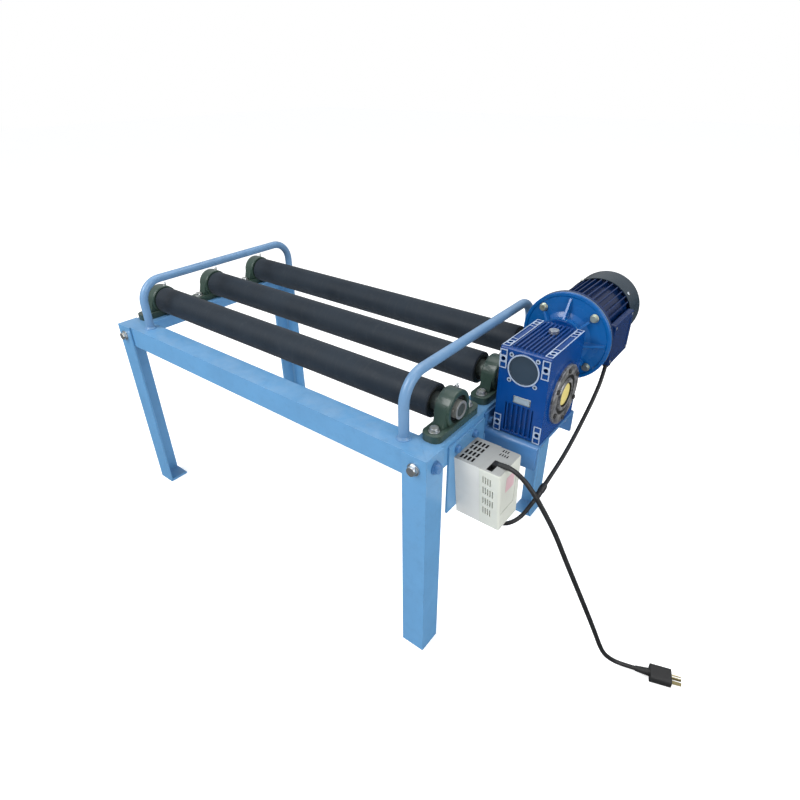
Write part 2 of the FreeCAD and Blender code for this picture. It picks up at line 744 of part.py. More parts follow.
def side_cover(face, axis):
    """Stepped cover ring on a side hub: spigot, screw flange, shallow groove, boss and counterbore."""
    opening = hollow_shaft_diameter / 2 + running_clearance
    spigot = side_cover_radius - side_cover_step
    flange = side_cover_thickness
    groove = flange - cover_groove_depth
    boss = flange + cover_boss_rise
    bore = cap_radius + cap_side_gap
    floor = -cover_counterbore_depth
    profile = [(-side_cover_spigot, opening), (-side_cover_spigot, spigot), (0, spigot), (0, side_cover_radius),
               (flange - 0.8, side_cover_radius), (flange, side_cover_radius - 0.8), (flange, bore + 15.0),
               (groove, bore + 13.7), (groove, bore + 8.0), (boss, bore + 6.5), (boss, bore + 0.6),
               (boss - 0.6, bore), (floor, bore), (floor, opening)]
    return outline(profile, face, axis, Z).revolve(face, axis, 360)


def build_gearbox_parts():
    """Covers, cap, breather, hollow shaft, wheel and worm."""
    centre = Vec(gearbox_x, gearbox_y, roller_z)
    covers = [side_cover(centre + X * side * gearbox_hub_half_width, X * side) for side in (-1, 1)]
    keep("gearbox_side_covers", Part.makeCompound(covers))

    start = centre - X * hollow_shaft_half_length
    shaft = tube(hollow_shaft_diameter / 2, shaft_diameter / 2, start, X, 2 * hollow_shaft_half_length)
    keep("hollow_output_shaft", shaft)

    outer = worm_centre_distance - worm_barrel_diameter / 2 - mesh_clearance
    root = outer - wheel_tooth_depth
    half = wheel_face_width / 2
    rim = tube(root, hollow_shaft_diameter / 2, centre - X * half, X, wheel_face_width)
    step = 360.0 / wheel_tooth_count
    teeth = []
    for k in range(wheel_tooth_count):
        points = [(-3.4, root - 1), (3.4, root - 1), (1.7, outer), (-1.7, outer)]
        tooth = outline(points, centre - X * half, Y, Z).extrude(X * wheel_face_width)
        tooth.rotate(centre, X, k * step)
        teeth.append(tooth)
    keep("worm_wheel", joined([rim] + teeth))

    cap_face = centre + X * (hollow_shaft_half_length + 0.3)
    cap = cylinder(cap_radius, cap_face, X, cap_thickness)
    cap = cap.makeFillet(1.2, [e for e in cap.Edges if e.Length > 10 and e.CenterOfMass.x > cap_face.x + 1
                               and abs(e.CenterOfMass.x - cap_face.x - cap_thickness) < 0.01])
    lip_x = gearbox_hub_half_width - cover_counterbore_depth
    lip = tube(cap_radius, cap_radius - 1.2, centre + X * lip_x, X, cap_face.x - centre.x - lip_x)
    keep("shaft_end_cap", joined([cap, lip]))

    worm_face = Vec(gearbox_x, gearbox_front_y - worm_cover_thickness + 1, worm_z)
    plug = cylinder(worm_cover_radius - 1.5, worm_face, Y, worm_cover_thickness)
    keep("worm_end_cover", plug.cut(cylinder(worm_cover_radius - 4, worm_face - Y * 0.1, Y, 0.9)))

    seat = breather_seat()
    hex_height = 3.0
    breather = joined([hexagon(breather_flats, seat, Z, hex_height, X),
                       cylinder(breather_cap_radius, seat + Z * hex_height, Z, 3.0),
                       cylinder(5.8, seat, Z * -1, gearbox_wall)])
    keep("breather_plug", breather)

    worm_start = gearbox_front_y + 12
    worm_end = flange_y - 4
    barrel = worm_barrel_diameter / 2
    stem = worm_shaft_diameter / 2
    profile = [(worm_start, 0), (worm_start, stem), (gearbox_y - 26, stem), (gearbox_y - 24, barrel),
               (gearbox_y + 24, barrel), (gearbox_y + 26, stem), (worm_end, stem), (worm_end, 0)]
    origin = Vec(gearbox_x, 0, worm_z)
    keep("worm_shaft", outline(profile, origin, Y, Z).revolve(origin, Y, 360))


def build_gearbox_bearings():
    """Ring bearings that carry the worm in the housing."""
    origin = Vec(gearbox_x, 0, worm_z)
    outer = worm_cover_radius - 5
    inner = worm_shaft_diameter / 2 + running_clearance
    rings = []
    for y in (gearbox_front_y + 16, gearbox_rear_y - 22):
        rings.append(tube(outer, inner, origin + Y * y, Y, 12))
    keep("worm_bearings", Part.makeCompound(rings))


# Motor
def build_flanges():
    """Gearbox input bell with ribs, and the motor end shield bolted to it."""
    axis_point = Vec(gearbox_x, 0, worm_z)
    start = gearbox_rear_y + 2
    inner = worm_cover_radius - 5
    rim = 3.0
    profile = [(start, inner), (start, bell_radius), (flange_y - 8, bell_radius - 2),
               (flange_y - 3, bell_radius + 6), (flange_y, bell_radius + 22), (flange_y + 1.5, flange_radius - 8),
               (flange_y, flange_radius - 6), (flange_y, flange_radius - 1), (flange_y + 1, flange_radius),
               (motor_flange_y - flange_chamfer, flange_radius), (motor_flange_y, flange_radius - flange_chamfer),
               (motor_flange_y, inner)]
    bell = outline(profile, axis_point, Y, Z).revolve(axis_point, Y, 360)
    ribs = []
    for k in range(flange_rib_count):
        points = [(flange_y + 3, bell_radius - 6), (start + rim, bell_radius - 6), (start + rim, bell_radius - 1),
                  (flange_y - 1, flange_radius - 10), (flange_y + 3, flange_radius - 10)]
        half = flange_rib_thickness / 2
        rib = outline(points, axis_point - X * half, Y, Z).extrude(X * flange_rib_thickness)
        rib.rotate(axis_point, Y, k * 360.0 / flange_rib_count)
        ribs.append(rib)
    holes = []
    for turn in flange_bolt_turns:
        out = Vec(cos(radians(turn)), 0, sin(radians(turn)))
        point = axis_point + out * (flange_bolt_circle / 2) + Y * flange_y
        holes.append(bolt_hole(drive_bolt, point, Y * -1, 2 * flange_thickness))
        holes.append(cylinder(drive_bolt["washer"] / 2 + 1, point, Y * -1, 10))
    keep("input_flange", joined([bell] + ribs).cut(holes))

    body_end = motor_body_y
    shaft_room = motor_shaft_diameter / 2 + running_clearance
    profile = [(motor_flange_y, shaft_room), (motor_flange_y, flange_radius - flange_chamfer),
               (motor_flange_y + flange_chamfer, flange_radius), (body_end - 1, flange_radius),
               (body_end, flange_radius - 1), (body_end, shaft_room)]
    shield = outline(profile, axis_point, Y, Z).revolve(axis_point, Y, 360)
    rear = motor_shield_y
    seat = fan_cover_radius - fan_cover_wall
    rear_profile = [(rear, shaft_room), (rear, seat), (rear + motor_shield_thickness - 3, seat),
                    (rear + motor_shield_thickness, seat - 4), (rear + motor_shield_thickness, shaft_room)]
    rear_shield = outline(rear_profile, axis_point, Y, Z).revolve(axis_point, Y, 360)
    keep("motor_end_shields", Part.makeCompound([shield.cut(holes), rear_shield]))


def terminal_seat():
    """Box of the terminal housing as x0, x1, y0, y1, z0, z1."""
    return (gearbox_x + terminal_inner_x, gearbox_x + terminal_outer_x, motor_body_y + terminal_start,
            motor_body_y + terminal_start + terminal_length, worm_z + terminal_bottom, worm_z + terminal_top)


def build_motor_body():
    """Finned stator housing with the pad for the terminal box."""
    axis_point = Vec(gearbox_x, motor_body_y, worm_z)
    core = cylinder(motor_body_radius, axis_point, Y, motor_body_length)
    fins = []
    half = motor_fin_thickness / 2
    fin_end = motor_body_length - fan_cover_overlap - 2
    for k in range(motor_fin_count):
        turn = k * 360.0 / motor_fin_count
        angle = radians(turn)
        in_box = terminal_bottom - 2 < motor_fin_radius * sin(angle) < terminal_top + 2 and cos(angle) > 0
        length = terminal_start - 2 if in_box else fin_end
        fin = box(motor_body_radius - 1, motor_fin_radius, motor_fin_start, length, -half, half)
        fin.rotate(Vec(0, 0, 0), Y, -turn)
        fin.translate(axis_point)
        fins.append(fin)
    x0, _, y0, y1, z0, z1 = terminal_seat()
    neck = box(gearbox_x + 10, x0 + 6, y0 + 8, y1 - 8, z0 + 14, z1 - 4)
    shape = joined([core, neck] + fins)
    keep("motor_body", shape.cut(cylinder(motor_bore_radius, axis_point - Y, Y, motor_body_length + 2)))


def build_fan_cover():
    """Pressed steel fan cover with rounded rear edge and radial air slots."""
    axis_point = Vec(gearbox_x, fan_cover_y, worm_z)
    r = fan_cover_radius
    wall = fan_cover_wall
    bend = 12.0
    end = fan_cover_length
    arc_out = ((end - bend + bend * sin(radians(45)), r - bend + bend * cos(radians(45))), (end, r - bend))
    inner_bend = bend - wall
    arc_in = ((end - bend + inner_bend * sin(radians(45)), r - bend + inner_bend * cos(radians(45))),
              (end - bend, r - wall))
    profile = [(0, r - wall), (0, r), (end - bend, r), arc_out, (end, 6), (end - wall, 6), (end - wall, r - bend),
               arc_in]
    cover = outline(profile, axis_point, Y, Z).revolve(axis_point, Y, 360)
    slots = []
    for k in range(fan_cover_slot_count):
        for r0, r1, width in ((16.0, 32.0, 5.0), (37.0, 54.0, 8.0)):
            slot = outline(rounded_rectangle(r0, r1, -width / 2, width / 2, width / 2 - 0.1), Vec(0, 0, 0), X, Z)
            slot = slot.extrude(Y * 6)
            slot.rotate(Vec(0, 0, 0), Y, k * 360.0 / fan_cover_slot_count)
            slot.translate(axis_point + Y * (end - 4))
            slots.append(slot)
    keep("fan_cover", cover.cut(slots))


def build_rotor():
    """Rotor with its shaft, and the cooling fan at the rear end."""
    origin = Vec(gearbox_x, 0, worm_z)
    shaft = motor_shaft_diameter / 2
    front = flange_y - 4
    core0 = motor_body_y + 14
    core1 = motor_shield_y - 14
    fan_y = motor_shield_y + motor_shield_thickness + 6
    shaft_end = fan_y + 26
    profile = [(front, 0), (front, shaft), (core0, shaft), (core0, rotor_radius), (core1, rotor_radius),
               (core1, shaft), (shaft_end, shaft), (shaft_end, 0)]
    keep("rotor_shaft", outline(profile, origin, Y, Z).revolve(origin, Y, 360))
    start = origin + Y * fan_y
    hub = tube(15.0, shaft, start, Y, 22)
    disc = tube(fan_radius, shaft, start, Y, 2.5)
    blades = []
    for k in range(fan_blade_count):
        blade = box(13, fan_radius - 1, 0, 20, -1.2, 1.2)
        blade.rotate(Vec(0, 0, 0), Y, k * 360.0 / fan_blade_count)
        blade.translate(start)
        blades.append(blade)
    keep("cooling_fan", joined([hub, disc] + blades))


def gland_line():
    """Point on the underside of the terminal box where the gland's axis starts, and the axis."""
    tilt = radians(gland_tilt)
    x = gearbox_x + terminal_outer_x - gland_from_lid
    y = motor_body_y + terminal_start + gland_from_front
    return Vec(x, y, worm_z + terminal_bottom), Vec(0, -sin(tilt), -cos(tilt))


def terminal_screw_points():
    """Corner screws of the terminal lid."""
    _, x1, y0, y1, z0, z1 = terminal_seat()
    return [Vec(x1 - 2.2, y, z) for y in (y0 + 8, y1 - 8) for z in (z0 + 8, z1 - 8)]


def build_terminal_box():
    """Terminal housing on the side of the motor with its lid, and the cable gland under it."""
    x0, x1, y0, y1, z0, z1 = terminal_seat()
    lid_x = x1 - terminal_lid_thickness
    points = rounded_rectangle(y0, y1, z0, z1, 7.0)
    seat, out = gland_line()
    shell = outline(points, Vec(x0, 0, 0), Y, Z).extrude(X * (lid_x - x0))
    boss = cylinder(gland_boss_diameter / 2, seat - out * 6, out, gland_boss_length + 6)
    room = outline(rounded_rectangle(y0 + 4, y1 - 4, z0 + 4, z1 - 4, 4.0), Vec(x0 + 18, 0, 0), Y, Z)
    axis_point = Vec(gearbox_x, motor_body_y, worm_z)
    around = [cylinder(motor_fin_radius + 0.2, axis_point, Y, motor_body_length),
              box(gearbox_x, x0 + 6, y0 + 8, y1 - 8, z0 + 14, z1 - 4)]
    keep("terminal_box", joined([shell, boss]).cut([room.extrude(X * (lid_x - x0 - 18))] + around))
    lid = outline(points, Vec(lid_x, 0, 0), Y, Z).extrude(X * terminal_lid_thickness)
    edge = [e for e in lid.Edges if abs(e.CenterOfMass.x - x1) < 0.01]
    lid = lid.makeFillet(2.0, edge)
    recess = outline(rounded_rectangle(y0 + 14, y1 - 14, z0 + 12, z1 - 12, 4.0), Vec(x1 - 0.8, 0, 0), Y, Z)
    seats = [cylinder(3.4, point, X, 3) for point in terminal_screw_points()]
    keep("terminal_lid", lid.cut([recess.extrude(X * 2)] + seats))
    gland_start = seat + out * gland_boss_length
    dome_length = 4.0
    straight = gland_length - dome_length
    body = hexagon(gland_flats, gland_start, out, straight, X)
    dome = Part.makeCone(gland_flats / 2 - 0.5, motor_cable_diameter / 2 + 1.4, dome_length,
                         gland_start + out * straight, out)
    keep("cable_gland", joined([body, dome]))


def gland_mouth():
    """Middle of the gland's outer face."""
    seat, out = gland_line()
    return seat + out * (gland_boss_length + gland_length)


def build_cover_screws():
    """Small screws: terminal lid, both side covers of the gearbox and the worm cover lugs."""
    heads = []
    for point in terminal_screw_points():
        head = cylinder(3.2, point, X, 2.4)
        slot = box(point.x + 1.6, point.x + 3, point.y - 3.5, point.y + 3.5, point.z - 0.5, point.z + 0.5)
        heads.append(head.cut(slot))
    centre = Vec(gearbox_x, gearbox_y, roller_z)
    for side in (-1, 1):
        face = centre + X * side * (gearbox_hub_half_width + side_cover_thickness)
        for k in range(side_screw_count):
            turn = radians((k + 0.5) * 360.0 / side_screw_count)
            out = Vec(0, cos(turn), sin(turn))
            seat = face + out * side_screw_circle
            heads.append(hexagon(side_screw_flats, seat, X * side, side_screw_height, out))
    worm_face = Vec(gearbox_x, gearbox_front_y - worm_cover_thickness + 1, worm_z)
    for turn in lug_turns:
        out = Vec(cos(radians(turn)), 0, sin(radians(turn)))
        heads.append(cylinder(lug_screw_radius, worm_face + out * worm_lug_circle - Y * 0.6, Y, 8))
    keep("cover_screws", Part.makeCompound(heads))


# Bracket and inverter plate on the end rail
def build_bracket():
    """Bent plate that carries the gearbox, welded to a back plate bolted to the end rail."""
    y0 = bracket_front_y
    y1 = bracket_rear_y
    top = gearbox_bottom_z
    low = top - bracket_flange_depth
    r = bracket_bend_radius
    t = bracket_plate
    inner = r - t
    profile = [(y0, low), (y0 + t, low), (y0 + t, top - r), corner(y0 + r, top - r, inner, 180, 90),
               (y1 - r, top - t), corner(y1 - r, top - r, inner, 90, 0), (y1 - t, low), (y1, low),
               (y1, top - r), corner(y1 - r, top - r, r, 0, 90), (y0 + r, top),
               corner(y0 + r, top - r, r, 90, 180)]
    channel = outline(profile, Vec(inverter_back_x, 0, 0), Y, Z).extrude(X * bracket_reach)
    back = box(rail_x, inverter_back_x, y0, y1, low, top + back_plate_rise)
    holes = [bolt_hole(drive_bolt, p, X, back_plate_thickness) for p in bracket_bolt_points()]
    holes += [bolt_hole(drive_bolt, p, Z * -1, bracket_plate) for p in foot_bolt_points()]
    keep("gearbox_bracket", joined([channel, back]).cut(holes))


def build_drive_bolts():
    """Bolts of the motor flange, the bracket, the gearbox feet and the inverter plate."""
    pieces = []
    axis_point = Vec(gearbox_x, flange_y, worm_z)
    for turn in flange_bolt_turns:
        out = Vec(cos(radians(turn)), 0, sin(radians(turn)))
        pieces += bolt_set(drive_bolt, axis_point + out * (flange_bolt_circle / 2), Y * -1, 2 * flange_thickness)
    for point in bracket_bolt_points() + mount_plate_bolt_points():
        pieces += bolt_set(drive_bolt, point, X, back_plate_thickness + angle_thickness)
    for point in foot_bolt_points():
        pieces += bolt_set(drive_bolt, point, Z * -1, bracket_plate + foot_bolt_depth, False)
    keep("drive_bolts", Part.makeCompound(pieces))


def inverter_outline(grow=0.0):
    """Corner list of the inverter case seen along X, narrower at the bottom."""
    y0 = inverter_left_y - grow
    y1 = inverter_left_y + inverter_width + grow
    z1 = inverter_top_z
    z0 = z1 - inverter_height - grow
    return [(y0 + inverter_left_lean, z0), (y1 + inverter_right_lean, z0), (y1, z1), (y0, z1)]


def power_bore():
    """Slanted hole in the cover for the power cord."""
    direction = power_route[1] - power_route[0]
    direction.normalize()
    return cylinder(power_cord_diameter / 2 + cord_socket_clearance, power_route[0], direction, 40)


def motor_bore():
    """Slanted hole in the bottom of the case for the motor cable."""
    direction = motor_route[-2] - motor_route[-1]
    direction.normalize()
    return cylinder(motor_cable_diameter / 2 + cord_socket_clearance, motor_route[-1], direction, 40)


def side_vents(x_face):
    """Four groups of short upright slots in the left flank of the cover."""
    cuts = []
    z = inverter_top_z - 12.0
    lean = inverter_left_lean / inverter_height
    for group, count in enumerate((4, 5, 5, 4)):
        for k in range(count):
            x = x_face + 7.0 + k * 4.6
            z0 = z - group * 25.0 - 18.0 - k * 0.8
            y = inverter_left_y + (inverter_top_z - z0 - 9) * lean
            slot = box(x, x + 2.0, y - 3, y + vent_depth, z0, z0 + 16.0)
            cuts.append(slot)
    return cuts


def build_inverter():
    """Plate, base with top vents, and front cover with flank vents and cable openings."""
    x0 = rail_x
    x1 = inverter_back_x
    y0 = mount_plate_left_y
    z1 = frame_height - mount_plate_top_gap
    plate = box(x0, x1, y0, mount_plate_right_y, z1 - mount_plate_height, z1)
    holes = [bolt_hole(drive_bolt, p, X, back_plate_thickness) for p in mount_plate_bolt_points()]
    keep("inverter_plate", plate.cut(holes))

    x2 = x1 + inverter_base_depth
    base = outline(inverter_outline(), Vec(x1, 0, 0), Y, Z).extrude(X * inverter_base_depth)
    vents = []
    for row in range(4):
        for k in range(4):
            x = x1 + 6.0 + k * 7.4
            y = inverter_left_y + 7.0 + row * 16.3
            vents.append(box(x, x + 4.2, y, y + 11.5, inverter_top_z - vent_depth, inverter_top_z + 1))
    keep("inverter_base", base.cut(vents))

    x3 = inverter_front_x
    cover = outline(inverter_outline(1.0), Vec(x2, 0, 0), Y, Z).extrude(X * inverter_cover_depth)
    rims = [e for e in cover.Edges if e.CenterOfMass.x > x2 + 1]
    cover = cover.makeFillet(inverter_edge_radius, rims)
    y_left = inverter_left_y
    top = inverter_top_z
    cuts = side_vents(x2)
    for row, count in enumerate((4, 3)):
        for k in range(count):
            x = x2 + 9.0 + k * 4.6
            y = y_left + 52.0 + row * 12.0
            cuts.append(box(x, x + 2.0, y, y + 7.0, top - vent_depth, top + 2))
    cuts.append(box(x2 + 11.0, x2 + 22.0, y_left + 4.0, y_left + 22.0, top - 9.0, top + 2))
    panel_points = rounded_rectangle(y_left + 16.0, y_left + 65.0, top - 96.0, top - 20.0, 3.0)
    cuts.append(outline(panel_points, Vec(x3 - panel_recess, 0, 0), Y, Z).extrude(X * 2))
    cuts += [power_bore(), motor_bore()]
    keep("inverter_cover", cover.cut(cuts))


# Cables: corner points of each route, from the exit to the far end
motor_route = [Vec(*p) for p in (
    (0, 0, 0), (591.5, 174.2, 490), (592, 165, 474), (592, 151, 458), (592, 130, 440), (592, 101, 421),
    (592, 69, 401), (592, 34, 383), (591, 1, 368), (588.5, -29, 354), (580.5, -64, 320.2), (571.5, -90, 295.5),
    (566, -102.7, 288.9), (560, -116.3, 287.5), (554.2, -129.7, 290.9), (549.1, -141.4, 298.8),
    (546, -148.5, 308))]
motor_route[0] = gland_mouth()
power_route = [Vec(*p) for p in (
    (529, -153.7, 432), (555.5, -158.5, 445), (584, -162.5, 440.5), (609, -163, 420), (632, -158, 384),
    (655, -153, 345), (679, -149, 295), (701, -141, 245), (720, -131, 197), (736, -117, 148), (749, -103, 103),
    (759, -91, 65), (769, -81, 36), (784, -70.5, 17), (804, -61.5, 9.2), (827, -54, 9))]


def cable(name, route, diameter):
    """Round cable along straight runs joined by tangent arcs; prints its smallest bend and its length."""
    runs = [(b - a).Length for a, b in zip(route, route[1:])]
    edges = []
    here = route[0]
    radii = []
    for i in range(1, len(route) - 1):
        into = (route[i] - route[i - 1]).normalize()
        away = (route[i + 1] - route[i]).normalize()
        half_turn = into.getAngle(away) / 2
        cut = 0.45 * min(runs[i - 1], runs[i])
        radius = cut / tan(half_turn)
        start = route[i] - into * cut
        end = route[i] + away * cut
        inward = (away - into).normalize()
        middle = route[i] + inward * (radius / cos(half_turn) - radius)
        edges.append(Part.LineSegment(here, start).toShape())
        edges.append(Part.Arc(start, middle, end).toShape())
        here = end
        radii.append(round(radius))
    edges.append(Part.LineSegment(here, route[-1]).toShape())
    path = Part.Wire(edges)
    direction = (route[1] - route[0]).normalize()
    section = Part.Wire(Part.makeCircle(diameter / 2, route[0], direction))
    solid = path.makePipeShell([section], True, False)
    expected = pi * diameter * diameter / 4 * path.Length
    ratio = solid.Volume / expected
    print(name, "radii", radii, "length", round(path.Length, 1), "volume ratio", round(ratio, 4))
    keep(name, solid)


def build_cables():
    """Motor cable with its splice sleeve, and the power cord with its plug."""
    cable("motor_cable", motor_route, motor_cable_diameter)
    cable("power_cord", power_route, power_cord_diameter)
    before, after = motor_route[9:11]
    along = (after - before).normalize()
    start = before + along * splice_offset
    bore = motor_cable_diameter / 2 + splice_clearance
    end_radius = splice_diameter / 2 - 1.2
    third = splice_length / 3
    sleeve = [Part.makeCone(bore + 0.8, end_radius, 6, start, along),
              cylinder(splice_diameter / 2, start + along * 6, along, third),
              cylinder(end_radius, start + along * (6 + third), along, splice_length - 12 - third),
              Part.makeCone(end_radius, bore + 0.8, 6, start + along * (splice_length - 6), along)]
    keep("cable_splice", joined(sleeve).cut(cylinder(bore, start, along, splice_length)))

    mouth = power_route[-1]
    along = (mouth - power_route[-2])
    along.z = 0
    along.normalize()
    across = Z.cross(along)
    relief = Part.makeCone(power_cord_diameter / 2 + 1.0, plug_relief_diameter / 2, plug_relief_length,
                           mouth, along)
    face = mouth + along * plug_relief_length
    half = plug_width / 2
    drop = mouth.z
    body_points = rounded_rectangle(-half, half, 0.1 - drop, plug_height - drop, 6.0)
    body = outline(body_points, face, across, Z).extrude(along * plug_length)
    blades = []
    blade_face = face + along * (plug_length - 1)
    for side in (-1, 0, 1):
        blade = Part.makeBox(plug_blade_length + 1, 1.8, 6.3, Vec(0, -0.9, -3.15))
        if side:
            blade.rotate(Vec(0, 0, 0), X, side * 30)
        blade.translate(Vec(0, side * 7.9, -side * side * 1.5 + 1.5))
        blades.append(blade)
    turn = degrees(along.getAngle(X)) * (1 if along.y > 0 else -1)
    for blade in blades:
        blade.rotate(Vec(0, 0, 0), Z, turn)
        blade.translate(blade_face)
    keep("power_plug", joined([relief, body] + blades))


for step in (build_rails, build_legs, build_frame_bolts, build_hoops, build_bearings, build_rollers,
             build_gearbox_housing, build_gearbox_parts, build_gearbox_bearings, build_flanges, build_motor_body,
             build_fan_cover, build_rotor, build_terminal_box, build_cover_screws, build_bracket, build_drive_bolts,
             build_inverter, build_cables):
    step()

# The origin goes under the middle of the machine, measured without its free cables
cable_names = ("motor_cable", "power_cord", "cable_splice", "power_plug")
whole = Part.makeCompound([shape for name, shape in shapes.items() if name not in cable_names]).BoundBox
shift = Vec(-(whole.XMin + whole.XMax) / 2, -(whole.YMin + whole.YMax) / 2, 0)
print("machine", whole.XLength, whole.YLength, whole.ZMin, whole.ZMax, "shift", shift.x, shift.y)
for name, shape in shapes.items():
    shape.translate(shift)
    shape.exportStep("parts/" + name + ".step")
print(len(shapes), "sub-parts")
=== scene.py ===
# Looks of the three-roller bottle roller: camera, cables, finishes, plates, weld beads and threads.
import json
from math import cos, pi, radians, sin, sqrt

import bpy
from mathutils import Matrix, Vector


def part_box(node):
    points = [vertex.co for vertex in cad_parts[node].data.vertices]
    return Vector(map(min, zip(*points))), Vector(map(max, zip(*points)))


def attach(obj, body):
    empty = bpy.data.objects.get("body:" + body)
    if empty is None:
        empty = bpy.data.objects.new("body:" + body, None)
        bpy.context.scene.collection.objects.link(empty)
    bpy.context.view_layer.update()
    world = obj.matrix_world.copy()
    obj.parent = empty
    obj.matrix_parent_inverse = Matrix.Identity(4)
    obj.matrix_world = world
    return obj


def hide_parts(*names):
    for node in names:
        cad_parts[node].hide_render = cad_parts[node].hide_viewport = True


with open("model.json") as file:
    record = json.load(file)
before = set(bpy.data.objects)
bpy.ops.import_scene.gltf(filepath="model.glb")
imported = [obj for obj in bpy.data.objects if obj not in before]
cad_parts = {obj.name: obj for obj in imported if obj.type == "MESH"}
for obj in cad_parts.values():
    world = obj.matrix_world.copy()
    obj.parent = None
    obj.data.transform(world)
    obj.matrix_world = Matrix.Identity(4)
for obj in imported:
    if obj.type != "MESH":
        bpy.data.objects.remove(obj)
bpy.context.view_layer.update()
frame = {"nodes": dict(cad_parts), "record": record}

nodes = frame["nodes"]
scene = bpy.context.scene
X = Vector((1, 0, 0))
Y = Vector((0, 1, 0))
Z = Vector((0, 0, 1))
ORIGIN = Vector((0.067, 0.025, 0.0))


def at(x, y, z):
    """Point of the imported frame, in metres, from millimetres counted from the middle of the stand."""
    return Vector((x, y, z)) * 0.001 - ORIGIN


def srgb(r, g, b):
    """Linear colour from 0-255 screen values."""
    def channel(c):
        c /= 255.0
        return c / 12.92 if c <= 0.04045 else ((c + 0.055) / 1.055) ** 2.4
    return (channel(r), channel(g), channel(b), 1.0)


# Camera
def aim_camera():
    """Camera at the photograph's viewpoint."""
    yaw = radians(37.81)
    pitch = radians(-31.03)
    roll = radians(-0.5)
    forward = Vector((-cos(pitch) * sin(yaw), cos(pitch) * cos(yaw), sin(pitch)))
    right = forward.cross(Z).normalized()
    up = right.cross(forward)
    side = right * cos(roll) + up * sin(roll)
    top = up * cos(roll) - right * sin(roll)
    data = bpy.data.cameras.new("camera")
    data.sensor_width = 36.0
    data.lens = 24.62
    data.clip_start = 0.05
    data.clip_end = 60.0
    camera = bpy.data.objects.new("camera", data)
    scene.collection.objects.link(camera)
    turn = Matrix((side, top, -forward)).transposed().to_4x4()
    camera.matrix_world = Matrix.Translation(at(862.5, -843.1, 1014.2)) @ turn
    scene.camera = camera


aim_camera()


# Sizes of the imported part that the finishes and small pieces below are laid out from, in mm
HUB_Y = 3.0
HUB_Z = 516.5
GEARBOX_X = 528.0
RAIL_TOP = 480.0
RAIL_WALL = 5.0
WASHER = 2.0
BEARING_PITCH = 156.0
BEARING_BOLT_OFFSET = 52.5
PLUG_MOUTH = (827, -54, 9)


# Shader building
class Shader:
    """A Principled material with object coordinates, and helpers that add nodes to it."""

    def __init__(self, name):
        self.material = bpy.data.materials.new(name)
        self.material.use_nodes = True
        self.tree = self.material.node_tree
        self.main = self.tree.nodes["Principled BSDF"]
        self.place = self.add("ShaderNodeTexCoord").outputs["Object"]

    def add(self, kind, **values):
        node = self.tree.nodes.new(kind)
        for key, value in values.items():
            setattr(node, key, value)
        return node

    def link(self, source, target):
        self.tree.links.new(source, target)

    def put(self, node, name, value):
        """Set or link one input."""
        if isinstance(value, bpy.types.NodeSocket):
            self.link(value, node.inputs[name])
        else:
            node.inputs[name].default_value = value

    def stretched(self, factors):
        node = self.add("ShaderNodeMapping")
        self.link(self.place, node.inputs["Vector"])
        node.inputs["Scale"].default_value = factors
        return node.outputs["Vector"]

    def noise(self, scale, detail=3.0, rough=0.55, stretch=None):
        node = self.add("ShaderNodeTexNoise")
        self.link(self.stretched(stretch) if stretch else self.place, node.inputs["Vector"])
        node.inputs["Scale"].default_value = scale
        node.inputs["Detail"].default_value = detail
        node.inputs["Roughness"].default_value = rough
        return node.outputs["Fac"]

    def cells(self, scale, feature="F1"):
        node = self.add("ShaderNodeTexVoronoi", feature=feature)
        self.link(self.place, node.inputs["Vector"])
        node.inputs["Scale"].default_value = scale
        return node.outputs["Distance"]

    def math(self, operation, a, b=0.0, clamp=False):
        node = self.add("ShaderNodeMath", operation=operation, use_clamp=clamp)
        self.put(node, 0, a)
        self.put(node, 1, b)
        return node.outputs[0]

    def remap(self, value, low, high, out_low=0.0, out_high=1.0):
        node = self.add("ShaderNodeMapRange", clamp=True)
        self.put(node, "Value", value)
        node.inputs["From Min"].default_value = low
        node.inputs["From Max"].default_value = high
        node.inputs["To Min"].default_value = out_low
        node.inputs["To Max"].default_value = out_high
        return node.outputs["Result"]

    def mix(self, factor, a, b):
        node = self.add("ShaderNodeMix", data_type="RGBA")
        self.put(node, 0, factor)
        self.put(node, 6, a)
        self.put(node, 7, b)
        return node.outputs[2]

    def part_of(self, vector, axis):
        node = self.add("ShaderNodeSeparateXYZ")
        self.link(vector, node.inputs[0])
        return node.outputs[axis]

    def edges(self, radius):
        """Rounded normal and a mask that is 1 on sharp edges."""
        bevel = self.add("ShaderNodeBevel", samples=4)
        bevel.inputs["Radius"].default_value = radius
        geometry = self.add("ShaderNodeNewGeometry")
        dot = self.add("ShaderNodeVectorMath", operation="DOT_PRODUCT")
        self.link(bevel.outputs[0], dot.inputs[0])
        self.link(geometry.outputs["Normal"], dot.inputs[1])
        return bevel.outputs[0], self.remap(dot.outputs["Value"], 0.998, 0.9)

    def facing_up(self, low=0.5):
        geometry = self.add("ShaderNodeNewGeometry")
        return self.remap(self.part_of(geometry.outputs["Normal"], "Z"), low, 1.0)

    def bumps(self, layers, normal=None):
        """Chain of bump nodes from (height, strength, distance)."""
        for height, strength, distance in layers:
            node = self.add("ShaderNodeBump")
            node.inputs["Strength"].default_value = strength
            node.inputs["Distance"].default_value = distance
            self.link(height, node.inputs["Height"])
            if normal is not None:
                self.link(normal, node.inputs["Normal"])
            normal = node.outputs[0]
        self.link(normal, self.main.inputs["Normal"])

    def set(self, **values):
        names = {"color": "Base Color", "rough": "Roughness", "metal": "Metallic", "coat": "Coat Weight",
                 "coat_rough": "Coat Roughness", "specular": "Specular IOR Level", "sheen": "Sheen Weight",
                 "sheen_rough": "Sheen Roughness"}
        for key, value in values.items():
            self.put(self.main, names[key], value)


